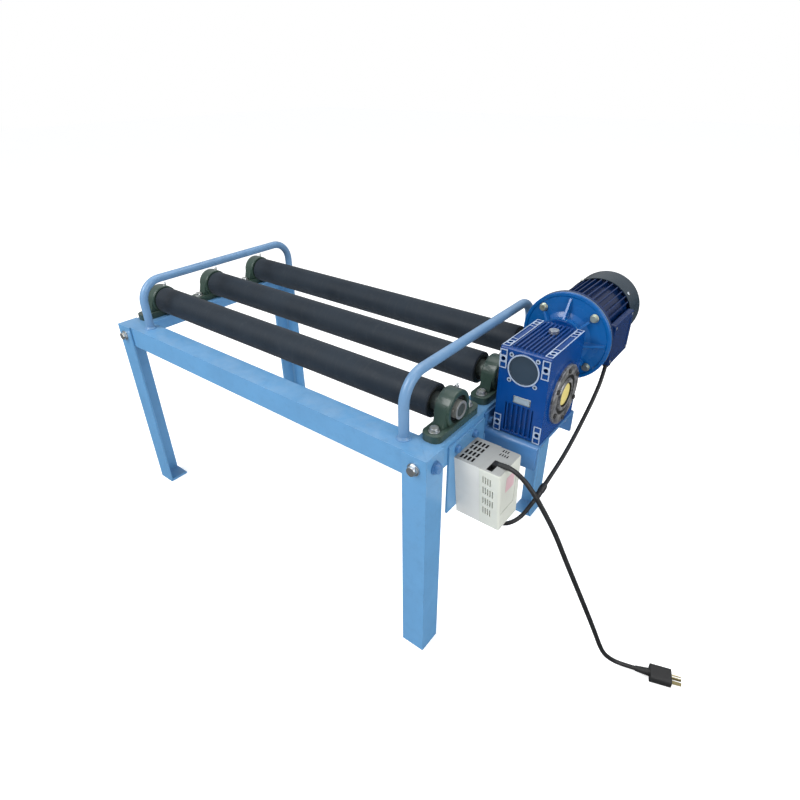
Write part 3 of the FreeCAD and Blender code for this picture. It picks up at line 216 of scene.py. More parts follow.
def shade(color, factor):
    """The colour made darker or lighter."""
    return (min(color[0] * factor, 1.0), min(color[1] * factor, 1.0), min(color[2] * factor, 1.0), 1.0)


def painted(name, color, rough=0.35, coat=0.35, peel=0.12, cast=0.0, wear=0.5, chip=srgb(120, 125, 130),
            patches=0.12, dust=0.1, edge=0.0012, bare_band=None, specular=0.4):
    """Paint on steel or a casting: clouded colour, orange peel, lighter edges as a painted highlight, worn edges,
    chips and a little dust.
    """
    s = Shader(name)
    normal, edge_mask = s.edges(edge)
    clouds = s.noise(7.0, 4.0)
    streaks = s.noise(16.0, 5.0, 0.6, (1.0, 1.0, 0.18))
    base = s.mix(s.remap(clouds, 0.3, 0.7), shade(color, 1.0 - patches), shade(color, 1.0 + patches))
    base = s.mix(s.remap(streaks, 0.55, 0.85, 0.0, 0.35), base, shade(color, 0.8))
    grime = s.math("MULTIPLY", s.remap(s.noise(55.0, 6.0, 0.7), 0.5, 0.72), 0.22)
    base = s.mix(grime, base, shade(color, 0.62))
    # Every sharp edge lightened towards 1.6 times the colour: a painted highlight
    painted_edge_highlight = s.math("MULTIPLY", edge_mask, 0.22)
    base = s.mix(painted_edge_highlight, base, shade(color, 1.6))
    chips = s.math("MULTIPLY", edge_mask, s.remap(s.noise(120.0, 5.0, 0.65), 0.62 - 0.08 * wear, 0.68))
    spots = s.remap(s.noise(210.0, 3.0, 0.5), 0.765 - 0.02 * wear, 0.79)
    worn = s.math("MAXIMUM", chips, s.math("MULTIPLY", spots, wear), True)
    if bare_band is not None:
        y = s.part_of(s.place, "Y")
        band = s.math("COMPARE", y, bare_band)
        band.node.inputs[2].default_value = 0.0007
        worn = s.math("MAXIMUM", worn, band, True)
    base = s.mix(worn, base, chip)
    settled = s.math("MULTIPLY", s.facing_up(0.6), s.remap(s.noise(30.0, 6.0, 0.7), 0.35, 0.7, 0.0, dust))
    base = s.mix(settled, base, srgb(205, 208, 208))
    gloss = s.remap(s.noise(24.0, 4.0), 0.3, 0.7, rough - 0.06, rough + 0.08)
    gloss = s.math("ADD", gloss, s.math("MULTIPLY", settled, 0.5), True)
    s.set(color=base, rough=gloss, metal=s.math("MULTIPLY", worn, 0.6), coat=coat, coat_rough=0.12,
          specular=specular)
    layers = [(s.noise(420.0, 2.0), peel, 0.0004)]
    if cast:
        layers.append((s.noise(900.0, 4.0, 0.6), cast, 0.0006))
        layers.append((s.noise(90.0, 3.0, 0.5), cast * 0.7, 0.0016))
    layers.append((s.math("SUBTRACT", 1.0, worn), 0.25, 0.0003))
    s.bumps(layers, normal)
    return s.material


def turned(name, color=srgb(176, 178, 180), rough=0.28, rings=900.0, along=(1.0, 0.04, 0.04), stain=0.25,
           stain_color=srgb(95, 88, 80), edge=0.0006, metal=0.95):
    """Machined steel: fine tool marks across the axis, dull stains and lighter edges, which are a painted highlight.
    """
    s = Shader(name)
    normal, edge_mask = s.edges(edge)
    marks = s.noise(rings, 2.0, 0.5, along)
    clouds = s.noise(38.0, 5.0, 0.65)
    base = s.mix(s.remap(marks, 0.3, 0.7), shade(color, 0.82), shade(color, 1.12))
    base = s.mix(s.remap(clouds, 0.52, 0.78, 0.0, stain), base, stain_color)
    # Every sharp edge lightened towards near white: a painted highlight
    base = s.mix(s.math("MULTIPLY", edge_mask, 0.35), base, srgb(225, 226, 226))
    s.set(color=base, metal=metal, rough=s.remap(clouds, 0.3, 0.75, rough, rough + 0.22))
    s.bumps([(marks, 0.18, 0.0002), (s.noise(1500.0, 2.0), 0.05, 0.0002)], normal)
    return s.material


def zinc(name, color=srgb(206, 205, 196), tint=srgb(188, 196, 205), rough=0.24):
    """Zinc-plated fasteners: bright, faintly tinted plating with dull wrench marks."""
    s = Shader(name)
    normal, edge_mask = s.edges(0.0007)
    clouds = s.noise(90.0, 4.0, 0.6)
    base = s.mix(s.remap(clouds, 0.35, 0.65), color, tint)
    rubs = s.remap(s.noise(420.0, 4.0, 0.7), 0.58, 0.7)
    base = s.mix(s.math("MULTIPLY", rubs, 0.45), base, srgb(120, 118, 110))
    # Every sharp edge lightened towards near white: a painted highlight
    base = s.mix(s.math("MULTIPLY", edge_mask, 0.4), base, srgb(240, 240, 236))
    s.set(color=base, metal=0.9, rough=s.remap(clouds, 0.3, 0.7, rough, rough + 0.16))
    s.bumps([(s.noise(800.0, 3.0), 0.12, 0.0003), (rubs, 0.12, 0.0002)], normal)
    return s.material


def rubber(name):
    """Black roller covering: ground surface with fine grain, rub lines, dull patches and dust."""
    s = Shader(name)
    normal, edge_mask = s.edges(0.0012)
    rings = s.noise(260.0, 3.0, 0.6, (1.0, 0.05, 0.05))
    patches = s.noise(9.0, 5.0, 0.6)
    grain = s.noise(1400.0, 3.0, 0.6)
    base = s.mix(s.remap(patches, 0.3, 0.7), srgb(20, 30, 40), srgb(31, 42, 53))
    base = s.mix(s.remap(rings, 0.55, 0.75, 0.0, 0.35), base, srgb(48, 53, 58))
    base = s.mix(s.remap(s.noise(60.0, 6.0, 0.75), 0.55, 0.78, 0.0, 0.3), base, srgb(64, 68, 71))
    # Every sharp edge lightened towards grey: a painted highlight
    base = s.mix(s.math("MULTIPLY", edge_mask, 0.3), base, srgb(95, 98, 100))
    s.set(color=base, rough=s.remap(patches, 0.3, 0.7, 0.5, 0.7), specular=0.25, sheen=0.05, sheen_rough=0.5)
    s.bumps([(grain, 0.25, 0.0004), (rings, 0.12, 0.0004), (s.noise(150.0, 3.0), 0.1, 0.0006)], normal)
    return s.material


def moulded(name, color, rough=0.5, grain=0.35, specks=0.08, edge=0.0012, stains=0.1):
    """Moulded plastic with a fine spark-eroded texture and a trace of handling dirt."""
    s = Shader(name)
    normal, edge_mask = s.edges(edge)
    clouds = s.noise(14.0, 4.0)
    base = s.mix(s.remap(clouds, 0.3, 0.7), shade(color, 0.95), shade(color, 1.03))
    base = s.mix(s.remap(s.noise(700.0, 2.0), 0.5, 0.8, 0.0, specks), base, shade(color, 0.6))
    base = s.mix(s.remap(s.noise(42.0, 6.0, 0.75), 0.58, 0.8, 0.0, stains), base, shade(color, 0.45))
    # Every sharp edge lightened to 1.25 times the colour: a painted highlight
    base = s.mix(s.math("MULTIPLY", edge_mask, 0.25), base, shade(color, 1.25))
    s.set(color=base, rough=s.remap(clouds, 0.3, 0.7, rough - 0.05, rough + 0.08), specular=0.45)
    s.bumps([(s.cells(1300.0), grain, 0.00025), (s.noise(260.0, 3.0), 0.06, 0.0005)], normal)
    return s.material


def cast_bare(name, color=srgb(150, 150, 150)):
    """Machined casting with a rough, rubbed and slightly oily face."""
    s = Shader(name)
    normal, edge_mask = s.edges(0.0008)
    clouds = s.noise(70.0, 6.0, 0.7)
    base = s.mix(s.remap(clouds, 0.38, 0.62), shade(color, 0.22), shade(color, 1.5))
    base = s.mix(s.remap(s.noise(28.0, 4.0), 0.5, 0.66, 0.0, 0.6), base, srgb(46, 58, 92))
    # Every sharp edge lightened towards near white: a painted highlight
    base = s.mix(s.math("MULTIPLY", edge_mask, 0.6), base, srgb(226, 228, 230))
    s.set(color=base, metal=0.55, rough=s.remap(clouds, 0.3, 0.7, 0.28, 0.5))
    s.bumps([(s.noise(650.0, 4.0, 0.7), 0.45, 0.0006), (clouds, 0.2, 0.001)], normal)
    return s.material


def sheath(name, color, rough=0.45):
    """Cable sheath: extruded rubber with faint length marks and chalky rub spots."""
    s = Shader(name)
    clouds = s.noise(35.0, 5.0, 0.65)
    base = s.mix(s.remap(clouds, 0.3, 0.7), shade(color, 0.8), shade(color, 1.25))
    base = s.mix(s.remap(s.noise(160.0, 5.0, 0.7), 0.6, 0.78, 0.0, 0.35), base, srgb(104, 104, 102))
    s.set(color=base, rough=s.remap(clouds, 0.3, 0.7, rough - 0.06, rough + 0.12), specular=0.5)
    s.bumps([(s.noise(900.0, 3.0), 0.15, 0.0003), (s.noise(120.0, 2.0), 0.12, 0.0006)])
    return s.material


frame_paint = painted("frame_paint", srgb(90, 144, 189), 0.34, 0.3, 0.14, 0.0, 0.55, patches=0.06, dust=0.12)
hoop_paint = painted("hoop_paint", srgb(102, 140, 178), 0.36, 0.3, 0.14, 0.0, 0.4, patches=0.06, dust=0.15)
gearbox_paint = painted("gearbox_enamel", srgb(0, 60, 128), 0.22, 0.3, 0.1, 0.22, 0.35, srgb(150, 155, 160),
                        0.16, 0.015, specular=0.3)
flange_paint = painted("flange_enamel", srgb(0, 86, 154), 0.24, 0.3, 0.08, 0.1, 0.2, srgb(168, 176, 150), 0.08, 0.05,
                       bare_band=at(0, 108.0, 0).y - 0.0013)
motor_paint = painted("motor_enamel", srgb(8, 38, 84), 0.2, 0.12, 0.1, 0.2, 0.35, srgb(135, 140, 148),
                      0.25, 0.01, specular=0.22)
fan_paint = painted("fan_cover_enamel", srgb(32, 48, 60), 0.2, 0.15, 0.1, 0.05, 0.3, srgb(150, 150, 150), 0.15, 0.02,
                    specular=0.25)
bearing_paint = painted("bearing_enamel", srgb(48, 68, 60), 0.3, 0.35, 0.12, 0.35, 0.5, srgb(150, 152, 150),
                        0.25, 0.05)
slate_paint = painted("cover_paint", srgb(42, 58, 73), 0.42, 0.15, 0.1, 0.0, 0.15, patches=0.05, dust=0.02)
roller_cover = rubber("roller_rubber")
steel = turned("turned_steel")
dark_steel = turned("oiled_steel", srgb(92, 92, 90), 0.34, 700.0, (1.0, 0.08, 0.08), 0.5, srgb(48, 44, 40))
ring_steel = turned("ground_steel", srgb(176, 178, 174), 0.24, 1200.0, (1.0, 0.05, 0.05), 0.15, metal=0.6)
shaft_steel = turned("shaft_ends", srgb(86, 94, 90), 0.4, 500.0, (0.1, 1.0, 1.0), 0.4, srgb(48, 52, 50), metal=0.5)
milled = turned("milled_faces", srgb(186, 202, 226), 0.36, 260.0, (1.0, 0.3, 1.0), 0.12, srgb(130, 145, 170), 0.0003,
                metal=0.45)
bolt_zinc = zinc("zinc_plate")
yellow_zinc = zinc("yellow_zinc", srgb(214, 214, 186), srgb(188, 202, 190), 0.3)
bare_casting = cast_bare("machined_casting")
bronze = turned("wheel_bronze", srgb(170, 128, 72), 0.3, 500.0, (0.3, 1.0, 1.0), 0.3)
cover_plastic = moulded("inverter_cover_plastic", srgb(200, 203, 194), 0.46)
base_plastic = moulded("inverter_base_plastic", srgb(208, 209, 205), 0.48)
black_plastic = moulded("black_plastic", srgb(34, 34, 35), 0.45, 0.25)
# Near-black finish that is painted shadow, put in vents, the cord's opening, the output bore and screw slots
painted_shadow = moulded("vent_shadow", srgb(24, 24, 26), 0.7, 0.2)
yellow_plastic = moulded("cap_plastic", srgb(212, 196, 118), 0.4, 0.2, 0.05, 0.0012, 0.25)
cable_rubber = sheath("cable_sheath", srgb(28, 28, 30))
tape_black = sheath("splice_tape", srgb(30, 32, 36), 0.32)
plate_metal = turned("plate_aluminium", srgb(196, 202, 200), 0.34, 240.0, (0.05, 1.0, 1.0), 0.25, srgb(120, 128, 126))
plate_dark = moulded("plate_field", srgb(140, 156, 168), 0.4, 0.1)
pink_label = moulded("bare_label", srgb(206, 172, 178), 0.42, 0.08, 0.1)
# Darker grey for the inverter's upward faces: painted shade on its top
inverter_top_shade = moulded("inverter_top_shade_plastic", srgb(158, 160, 158), 0.5, 0.35, 0.1, 0.0012, 0.3)
# A darker copy of the frame paint: painted shade on the bracket under the gearbox
bracket_shaded_paint = painted("bracket_shaded_paint", srgb(66, 116, 168), 0.36, 0.2, 0.14, 0.0, 0.5, patches=0.08, dust=0.12)
weld_metal = painted("weld_beads", srgb(92, 140, 188), 0.36, 0.25, 0.2, 0.35, 0.5, patches=0.1, dust=0.1)

SLOTS = {"frame_blue": frame_paint, "gearbox_blue": gearbox_paint, "motor_navy": motor_paint,
         "flange_blue": flange_paint, "bearing_green": bearing_paint, "roller_rubber": roller_cover,
         "machined_steel": steel, "zinc_steel": bolt_zinc, "bare_cast": bare_casting, "cover_slate": slate_paint,
         "cap_yellow": yellow_plastic, "bronze": bronze, "case_grey": cover_plastic, "base_grey": base_plastic,
         "black_plastic": black_plastic, "cable_black": cable_rubber}
for row in frame["record"]["subparts"]:
    mesh = nodes[row["node"]].data
    mesh.materials.clear()
    mesh.materials.append(SLOTS[row["material_slot"]])
    for face in mesh.polygons:
        face.material_index = 0


def only(name, material):
    """Give a whole CAD node another finish."""
    nodes[name].data.materials[0] = material


def repaint(name, material, test):
    """Give the faces of a CAD node that pass a test of centre (mm) and normal another finish."""
    mesh = nodes[name].data
    mesh.materials.append(material)
    index = len(mesh.materials) - 1
    for face in mesh.polygons:
        middle = (face.center + ORIGIN) * 1000
        if test(middle, face.normal):
            face.material_index = index


for side in ("left", "right"):
    only(side + "_guard_hoop", hoop_paint)
only("fan_cover", fan_paint)
# The bracket takes the darker copy of the frame paint as painted shade
only("gearbox_bracket", bracket_shaded_paint)
only("bearing_outer_rings", dark_steel)
for name in ("front", "middle", "rear"):
    only(name + "_bearing_rings", ring_steel)
    only(name + "_roller_shaft", shaft_steel)
    repaint(name + "_roller_core", dark_steel, lambda p, n: abs(n.x) > 0.9)
repaint("gearbox_housing", milled, lambda p, n: n.y < -0.98 and p.y < -72.2)
repaint("gearbox_housing", milled, lambda p, n: abs(n.z) > 0.98 and (abs(p.z - 614.6) < 0.2 or p.z < 443.3))
repaint("cover_screws", slate_paint, lambda p, n: p.y < -64 and p.x < 570)
repaint("cover_screws", dark_steel, lambda p, n: p.y < 100 and p.z < 575 and p.x > 570)


def from_hub(p):
    """Distance from the gearbox's output axis."""
    return sqrt((p.y - HUB_Y) ** 2 + (p.z - HUB_Z) ** 2)


# The walls of the output bore are painted black: painted shade in the hollow
repaint("gearbox_side_covers", painted_shadow, lambda p, n: from_hub(p) < 23.4 and abs(n.x) < 0.9)
repaint("gearbox_side_covers", dark_steel, lambda p, n: 31.0 < from_hub(p) < 37.9 and abs(p.x - GEARBOX_X) > 49)
repaint("drive_bolts", yellow_zinc, lambda p, n: p.y > 80 and p.z > 500)
# Painted bolts of the inverter plate and the bracket, in the bracket's darker paint that holds painted shade. The
# front right leg's side bolt is taken too, by mistake
for name in ("drive_bolts", "frame_bolts"):
    repaint(name, bracket_shaded_paint, lambda p, n: p.y < -55 and p.z > 440 and p.x > 465)
# Upward faces of the inverter take the darker grey: painted shade on its top
for name in ("inverter_cover", "inverter_base"):
    repaint(name, inverter_top_shade, lambda p, n: n.z > 0.7 and p.z > 437)
# Vent walls and floors of the inverter's top painted black: painted shade in the openings
repaint("inverter_base", painted_shadow, lambda p, n: p.z > 435 and (n.z < 0.9 or p.z < 438.5) and n.z > -0.9
        and -183.5 < p.y < -108 and p.x < 520)
repaint("inverter_cover", painted_shadow, lambda p, n: 429 < p.z < 438.8 and -180.1 < p.y < -109 and p.x < 553)


# Mesh helpers
def piece(name, verts, faces, material, body="frame", smooth=True):
    """Mesh object from points and faces, riding on a body."""
    mesh = bpy.data.meshes.new(name)
    mesh.from_pydata([tuple(v) for v in verts], [], faces)
    mesh.materials.append(material)
    for face in mesh.polygons:
        face.use_smooth = smooth
    thing = bpy.data.objects.new(name, mesh)
    scene.collection.objects.link(thing)
    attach(thing, body)
    return thing


def frame_across(axis):
    """Two directions square to an axis."""
    side = axis.cross(Z)
    if side.length < 0.1:
        side = axis.cross(X)
    side.normalize()
    return side, axis.cross(side).normalized()


def lofted(path, radii, steps, wobble=None):
    """Points and faces of a closed-ended tube along a path with a radius at each point."""
    verts = []
    faces = []
    count = len(path)
    for i, point in enumerate(path):
        ahead = (path[min(i + 1, count - 1)] - path[max(i - 1, 0)]).normalized()
        side, up = frame_across(ahead)
        for k in range(steps):
            turn = 2 * pi * k / steps
            radius = radii[i] + (wobble(i, turn) if wobble else 0.0)
            verts.append(point + side * radius * cos(turn) + up * radius * sin(turn))
    for i in range(count - 1):
        for k in range(steps):
            a = i * steps + k
            b = i * steps + (k + 1) % steps
            faces.append((a, b, b + steps, a + steps))
    faces.append(tuple(range(steps))[::-1])
    faces.append(tuple(range((count - 1) * steps, count * steps)))
    return verts, faces


# Cables
MOTOR_ROUTE = [(591.5, 178.36, 503.23), (591.5, 174.2, 490), (592, 165, 474), (592, 151, 458), (592, 130, 440),
               (592, 101, 421), (592, 69, 401), (592, 34, 383), (591, 1, 368), (588.5, -29, 354), (580.5, -64, 320.2),
               (571.5, -90, 295.5), (566, -102.7, 288.9), (560, -116.3, 287.5), (554.2, -129.7, 290.9),
               (549.1, -141.4, 298.8), (546, -148.5, 308)]
POWER_ROUTE = [(529, -153.7, 432), (555.5, -158.5, 445), (584, -162.5, 440.5), (609, -163, 420), (632, -158, 384),
               (655, -153, 345), (679, -149, 295), (701, -141, 245), (720, -131, 197), (736, -117, 148),
               (749, -103, 103), (759, -91, 65), (769, -81, 36), (784, -70.5, 17), (804, -61.5, 9.2), (827, -54, 9)]


def cable_curve(name, route, diameter, material):
    """Round cable on a smooth NURBS line, and the points of that line."""
    curve = bpy.data.curves.new(name, "CURVE")
    curve.dimensions = "3D"
    spline = curve.splines.new("NURBS")
    spline.points.add(len(route) - 1)
    for point, place in zip(spline.points, route):
        spot = at(*place)
        point.co = (spot.x, spot.y, spot.z, 1.0)
    spline.order_u = 3
    spline.use_endpoint_u = True
    curve.resolution_u = 12
    thing = bpy.data.objects.new(name, curve)
    scene.collection.objects.link(thing)
    bpy.context.view_layer.update()
    line = bpy.data.meshes.new_from_object(thing)
    points = [v.co.copy() for v in line.vertices]
    bpy.data.meshes.remove(line)
    curve.bevel_depth = diameter / 2
    curve.bevel_resolution = 5
    curve.use_fill_caps = True
    curve.materials.append(material)
    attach(thing, "frame")
    return thing, points


def stretch_of(points, start, length, step=0.0008):
    """Evenly spaced points of a line from a distance along it."""
    out = []
    run = 0.0
    target = start
    for a, b in zip(points, points[1:]):
        piece_length = (b - a).length
        while target <= run + piece_length and target <= start + length:
            out.append(a.lerp(b, (target - run) / piece_length))
            target += step
        run += piece_length
    return out


motor_cable, motor_points = cable_curve("motor_cable_sheath", MOTOR_ROUTE, 0.008, cable_rubber)
power_cord, power_points = cable_curve("power_cord_sheath", POWER_ROUTE, 0.0085, cable_rubber)


def nearest_run(points, spot):
    """Distance along a line of the point nearest to a spot."""
    best = None
    run = 0.0
    for a, b in zip(points, points[1:]):
        gap = (a - spot).length
        if best is None or gap < best[0]:
            best = (gap, run)
        run += (b - a).length
    return best[1]


def splice_sleeve():
    """Taped joint in the motor cable: overlapping turns that taper onto the sheath."""
    low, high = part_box("cable_splice")
    middle = nearest_run(motor_points, (low + high) / 2)
    length = 0.034
    path = stretch_of(motor_points, middle - length / 2, length, 0.0006)
    radii = []
    for i in range(len(path)):
        t = i / (len(path) - 1)
        body = 0.0064 if t < 0.5 else 0.0056
        rise = min(t / 0.18, (1 - t) / 0.18, 1.0)
        radii.append(0.0042 + (body - 0.0042) * rise ** 0.6)

    def turns(i, turn):
        lap = (i * 0.0006 / 0.0045 + turn / (2 * pi)) % 1.0
        return 0.00035 * lap
    verts, faces = lofted(path, radii, 28, turns)
    return piece("cable_splice_tape", verts, faces, tape_black)


def cord_boot():
    """Tapered boot on the power cord where it leaves the inverter."""
    path = stretch_of(power_points, 0.015, 0.024)
    count = len(path)
    radii = []
    for i in range(count):
        t = i / (count - 1)
        rib = 0.00045 if int(t * 9) % 2 else 0.0
        radii.append(0.0058 - 0.0012 * t - rib)
    verts, faces = lofted(path, radii, 28)
    return piece("power_cord_boot", verts, faces, boot_plastic)


boot_plastic = moulded("boot_plastic", srgb(42, 44, 44), 0.6, 0.2)
splice = splice_sleeve()
boot = cord_boot()


def plug_ribs():
    """Raised rings on the plug's tapered strain relief."""
    mouth = at(*PLUG_MOUTH)
    along = mouth - at(*POWER_ROUTE[-2])
    along.z = 0
    along.normalize()
    verts = []
    faces = []
    for k in range(5):
        start = mouth + along * (0.004 + 0.0042 * k)
        radius = 0.0053 + (0.0022 * (0.004 + 0.0042 * k + 0.001) / 0.026)
        ring = [start, start + along * 0.0004, start + along * 0.0018, start + along * 0.0022]
        sizes = [radius - 0.0008, radius + 0.0002, radius + 0.0002, radius - 0.0008]
        part_verts, part_faces = lofted(ring, sizes, 28)
        offset = len(verts)
        verts += part_verts
        faces += [tuple(i + offset for i in face) for face in part_faces]
    return piece("plug_relief_ribs", verts, faces, black_plastic)


ribs = plug_ribs()
plug_blade = turned("plug_blades", srgb(205, 190, 140), 0.3, 300.0, (1.0, 1.0, 1.0), 0.2)
repaint("power_plug", plug_blade, lambda p, n: p.x - 827 > (26 + 38 + 0.5) * 0.951 - abs(p.y + 54 - 20.6) * 0.31)
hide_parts("motor_cable")
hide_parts("power_cord")
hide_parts("cable_splice")


# Plates
def plate(name, centre, along, up, size, thick, material, field=None, corner=0.0012, rivets=2):
    """Thin plate with rounded corners, a raised bare field and round rivets, on a face."""
    out = along.cross(up).normalized()
    half_w = size[0] / 2
    half_h = size[1] / 2

    def slab(w, h, r, base, top, chamfer):
        ring = []
        for sx, sy, start in ((1, 1, 0), (-1, 1, 90), (-1, -1, 180), (1, -1, 270)):
            for k in range(6):
                turn = radians(start + 18 * k)
                ring.append((sx * (w - r) + r * cos(turn), sy * (h - r) + r * sin(turn)))
        n = len(ring)
        levels = ((base, 0.0), (top - chamfer, 0.0), (top, chamfer))
        points = []
        for level, pull in levels:
            for u, v in ring:
                points.append(centre + along * u * (1 - pull / w) + up * v * (1 - pull / h) + out * level)
        sides = []
        for level in range(len(levels) - 1):
            for k in range(n):
                a = level * n + k
                b = level * n + (k + 1) % n
                sides.append((a, b, b + n, a + n))
        sides.append(tuple(range(n * (len(levels) - 1), n * len(levels))))
        return points, sides
    verts, faces = slab(half_w, half_h, corner, 0.0, thick, thick * 0.35)
    base = piece(name, verts, faces, material, smooth=False)
    if field is not None:
        verts, faces = slab(half_w - 0.0022, half_h - 0.0018, corner * 0.6, thick * 0.9, thick * 1.35, thick * 0.2)
        piece(name + "_field", verts, faces, field, smooth=False)
    for k in range(rivets):
        side = -1 if k == 0 else 1
        dome(name + "_rivet_" + str(k), centre + along * side * (half_w - 0.0018) + out * thick, out, 0.0011, 0.0007,
             steel)
    return base


def dome(name, centre, axis, radius, height, material, slot=False, body="frame"):
    """Low domed head."""
    side, up = frame_across(axis)
    verts = []
    faces = []
    steps = 20
    levels = 6
    for level in range(levels):
        t = level / (levels - 1) * pi / 2
        for k in range(steps):
            turn = 2 * pi * k / steps
            r = radius * cos(t * 0.96)
            verts.append(centre + side * r * cos(turn) + up * r * sin(turn) + axis * height * sin(t))
    for level in range(levels - 1):
        for k in range(steps):
            a = level * steps + k
            b = level * steps + (k + 1) % steps
            faces.append((a, b, b + steps, a + steps))
    faces.append(tuple(range((levels - 1) * steps, levels * steps)))
    head = piece(name, verts, faces, material, body)
    if slot:
        # The slot is a thin dark bar of painted shadow laid on the head: the head has no cut
        for turn in (0, 1):
            run = side if turn else up
            wide = up if turn else side
            cross = []
            for a, b, c in ((-1, -1, 0.86), (1, -1, 0.86), (1, 1, 0.86), (-1, 1, 0.86), (-1, -1, 1.02), (1, -1, 1.02),
                            (1, 1, 1.02), (-1, 1, 1.02)):
                cross.append(centre + run * a * radius * 0.55 + wide * b * radius * 0.1 + axis * height * c)
            piece(name + "_slot_shadow_" + str(turn), cross, [(4, 5, 6, 7), (0, 1, 5, 4), (1, 2, 6, 5), (2, 3, 7, 6),
                                                       (3, 0, 4, 7)], painted_shadow, body, False)
    return head


plate("gearbox_plate", at(531.5, -71.0, 520.0), X, Z, (0.033, 0.014), 0.0008, plate_metal, plate_dark)
# The dark plate is painted shadow that stands for the cord's opening: the solid has no hole under it
plate("cord_opening_shadow", at(535.5, -155.5, 439.0), X, Y, (0.011, 0.0135), 0.0003, painted_shadow, None, 0.001, 0)
plate("inverter_label", at(558.2, -141.0, 401.0), Y, Z, (0.030, 0.032), 0.0004, pink_label, None, 0.002, 0)


# Weld beads
def bead_ring(name, centre, radius, width, count):
    """Rippled weld bead round a post standing on a plate."""
    verts = []
    faces = []
    steps = count * 6
    section = 8
    for i in range(steps):
        turn = 2 * pi * i / steps
        ripple = 0.82 + 0.18 * abs(sin(turn * count / 2)) + 0.06 * sin(turn * 3.0 + 1.0)
        for k in range(section):
            a = 2 * pi * k / section
            r = radius + width * ripple * cos(a)
            z = max(width * ripple * 0.8 * sin(a), -0.0002)
            verts.append(centre + X * r * cos(turn) + Y * r * sin(turn) + Z * z)
    for i in range(steps):
        for k in range(section):
            a = i * section + k
            b = i * section + (k + 1) % section
            c = ((i + 1) % steps) * section + (k + 1) % section
            d = ((i + 1) % steps) * section + k
            faces.append((a, b, c, d))
    return piece(name, verts, faces, weld_metal)


def bead_line(name, start, end, up, width, pitch=0.0042):
    """Straight rippled weld bead laid in a corner."""
    run = end - start
    steps = max(int(run.length / pitch) * 5, 8)
    path = []
    radii = []
    for i in range(steps + 1):
        t = i / steps
        phase = t * run.length / pitch
        path.append(start + run * t + up * 0.0002 * sin(phase * 2.1))
        fade = min(1.0, t * steps / 4 + 0.35, (1 - t) * steps / 4 + 0.35)
        radii.append(width * (0.8 + 0.2 * abs(sin(phase * pi))) * fade)
    verts, faces = lofted(path, radii, 8)
    return piece(name, verts, faces, weld_metal)


for label, x in (("left", -378.0), ("right", 399.0)):
    for place, y in (("front", -236.0), ("rear", 223.0)):
        bead_ring("weld_" + label + "_" + place, at(x, y, 480.2), 0.0122, 0.0016, 15)
for label, sx in (("left", -1), ("right", 1)):
    for place, sy in (("front", -1), ("rear", 1)):
        heel_x = sx * 465.0
        heel_y = sy * 265.0
        foot = place + "_" + label
        bead_line("weld_foot_x_" + foot, at(heel_x - sx * 6, heel_y, 6.0), at(heel_x - sx * 43, heel_y, 6.0),
                  Z, 0.0018)
        bead_line("weld_foot_y_" + foot, at(heel_x, heel_y - sy * 6, 6.0), at(heel_x, heel_y - sy * 43, 6.0),
                  Z, 0.0018)
for label, y in (("front", -80.0), ("rear", 86.0)):
    side = -1 if label == "front" else 1
    bead_line("weld_bracket_" + label, at(469.2, y + side * 0.4, 396.0), at(469.2, y + side * 0.4, 433.0), Y, 0.0019)
bead_line("weld_bracket_top", at(469.4, -70.0, 443.3), at(469.4, 76.0, 443.3), Z, 0.0019)


# Threads on the bolt tails
def thread(name, start, axis, diameter, length, pitch, body="frame"):
    """Helical thread over a bolt tail."""
    side, up = frame_across(axis)
    steps = 16
    rows = int(length / pitch * 4) + 1
    verts = []
    faces = []
    for i in range(rows):
        for k in range(steps):
            turn = 2 * pi * k / steps
            lift = (i / 4.0 + k / steps) % 1.0
            ridge = 1.0 - abs(lift * 2 - 1)
            radius = diameter / 2 - 0.0001 + 0.0004 * ridge
            if i in (0, rows - 1):
                radius = diameter / 2 - 0.0007
            along = length * i / (rows - 1)
            verts.append(start + side * radius * cos(turn) + up * radius * sin(turn) + axis * along)
    for i in range(rows - 1):
        for k in range(steps):
            a = i * steps + k
            b = i * steps + (k + 1) % steps
            faces.append((a, b, b + steps, a + steps))
    faces.append(tuple(range((rows - 1) * steps, rows * steps)))
    return piece(name, verts, faces, bolt_zinc, body)


count = 0
for sx in (-1, 1):
    for sy in (-1, 1):
        tail = 10.0 + 2.5 + 10.0
        for point, axis in ((at(sx * 445.0, sy * (270.0 - tail), 455.0), Y * -sy),
                            (at(sx * (470.0 - tail), sy * 245.0, 455.0), X * -sx)):
            thread("frame_thread_" + str(count), point - axis * 0.0002, axis, 0.012, 0.0033, 0.00175)
            count += 1
count = 0
for x in (-443.8, 440.0):
    for y in (HUB_Y - BEARING_PITCH, HUB_Y, HUB_Y + BEARING_PITCH):
        for side in (-1, 1):
            nut_bottom = RAIL_TOP - RAIL_WALL - WASHER - 8.0
            start = at(x, y + side * BEARING_BOLT_OFFSET, nut_bottom + 0.2)
            thread("bearing_thread_" + str(count), start, Z * -1, 0.010, 0.0033, 0.0015)
            count += 1


# Screws of the fan cover, on its rim around the motor's axis
for k, turn in enumerate((40, 130, 220, 310)):
    out = X * cos(radians(turn)) + Z * sin(radians(turn))
    centre = at(GEARBOX_X, 0, 579.5) + out * 0.0699
    centre.y = at(0, 277.0, 0).y
    dome("fan_screw_" + str(k), centre, out, 0.0042, 0.0022, bolt_zinc, True)


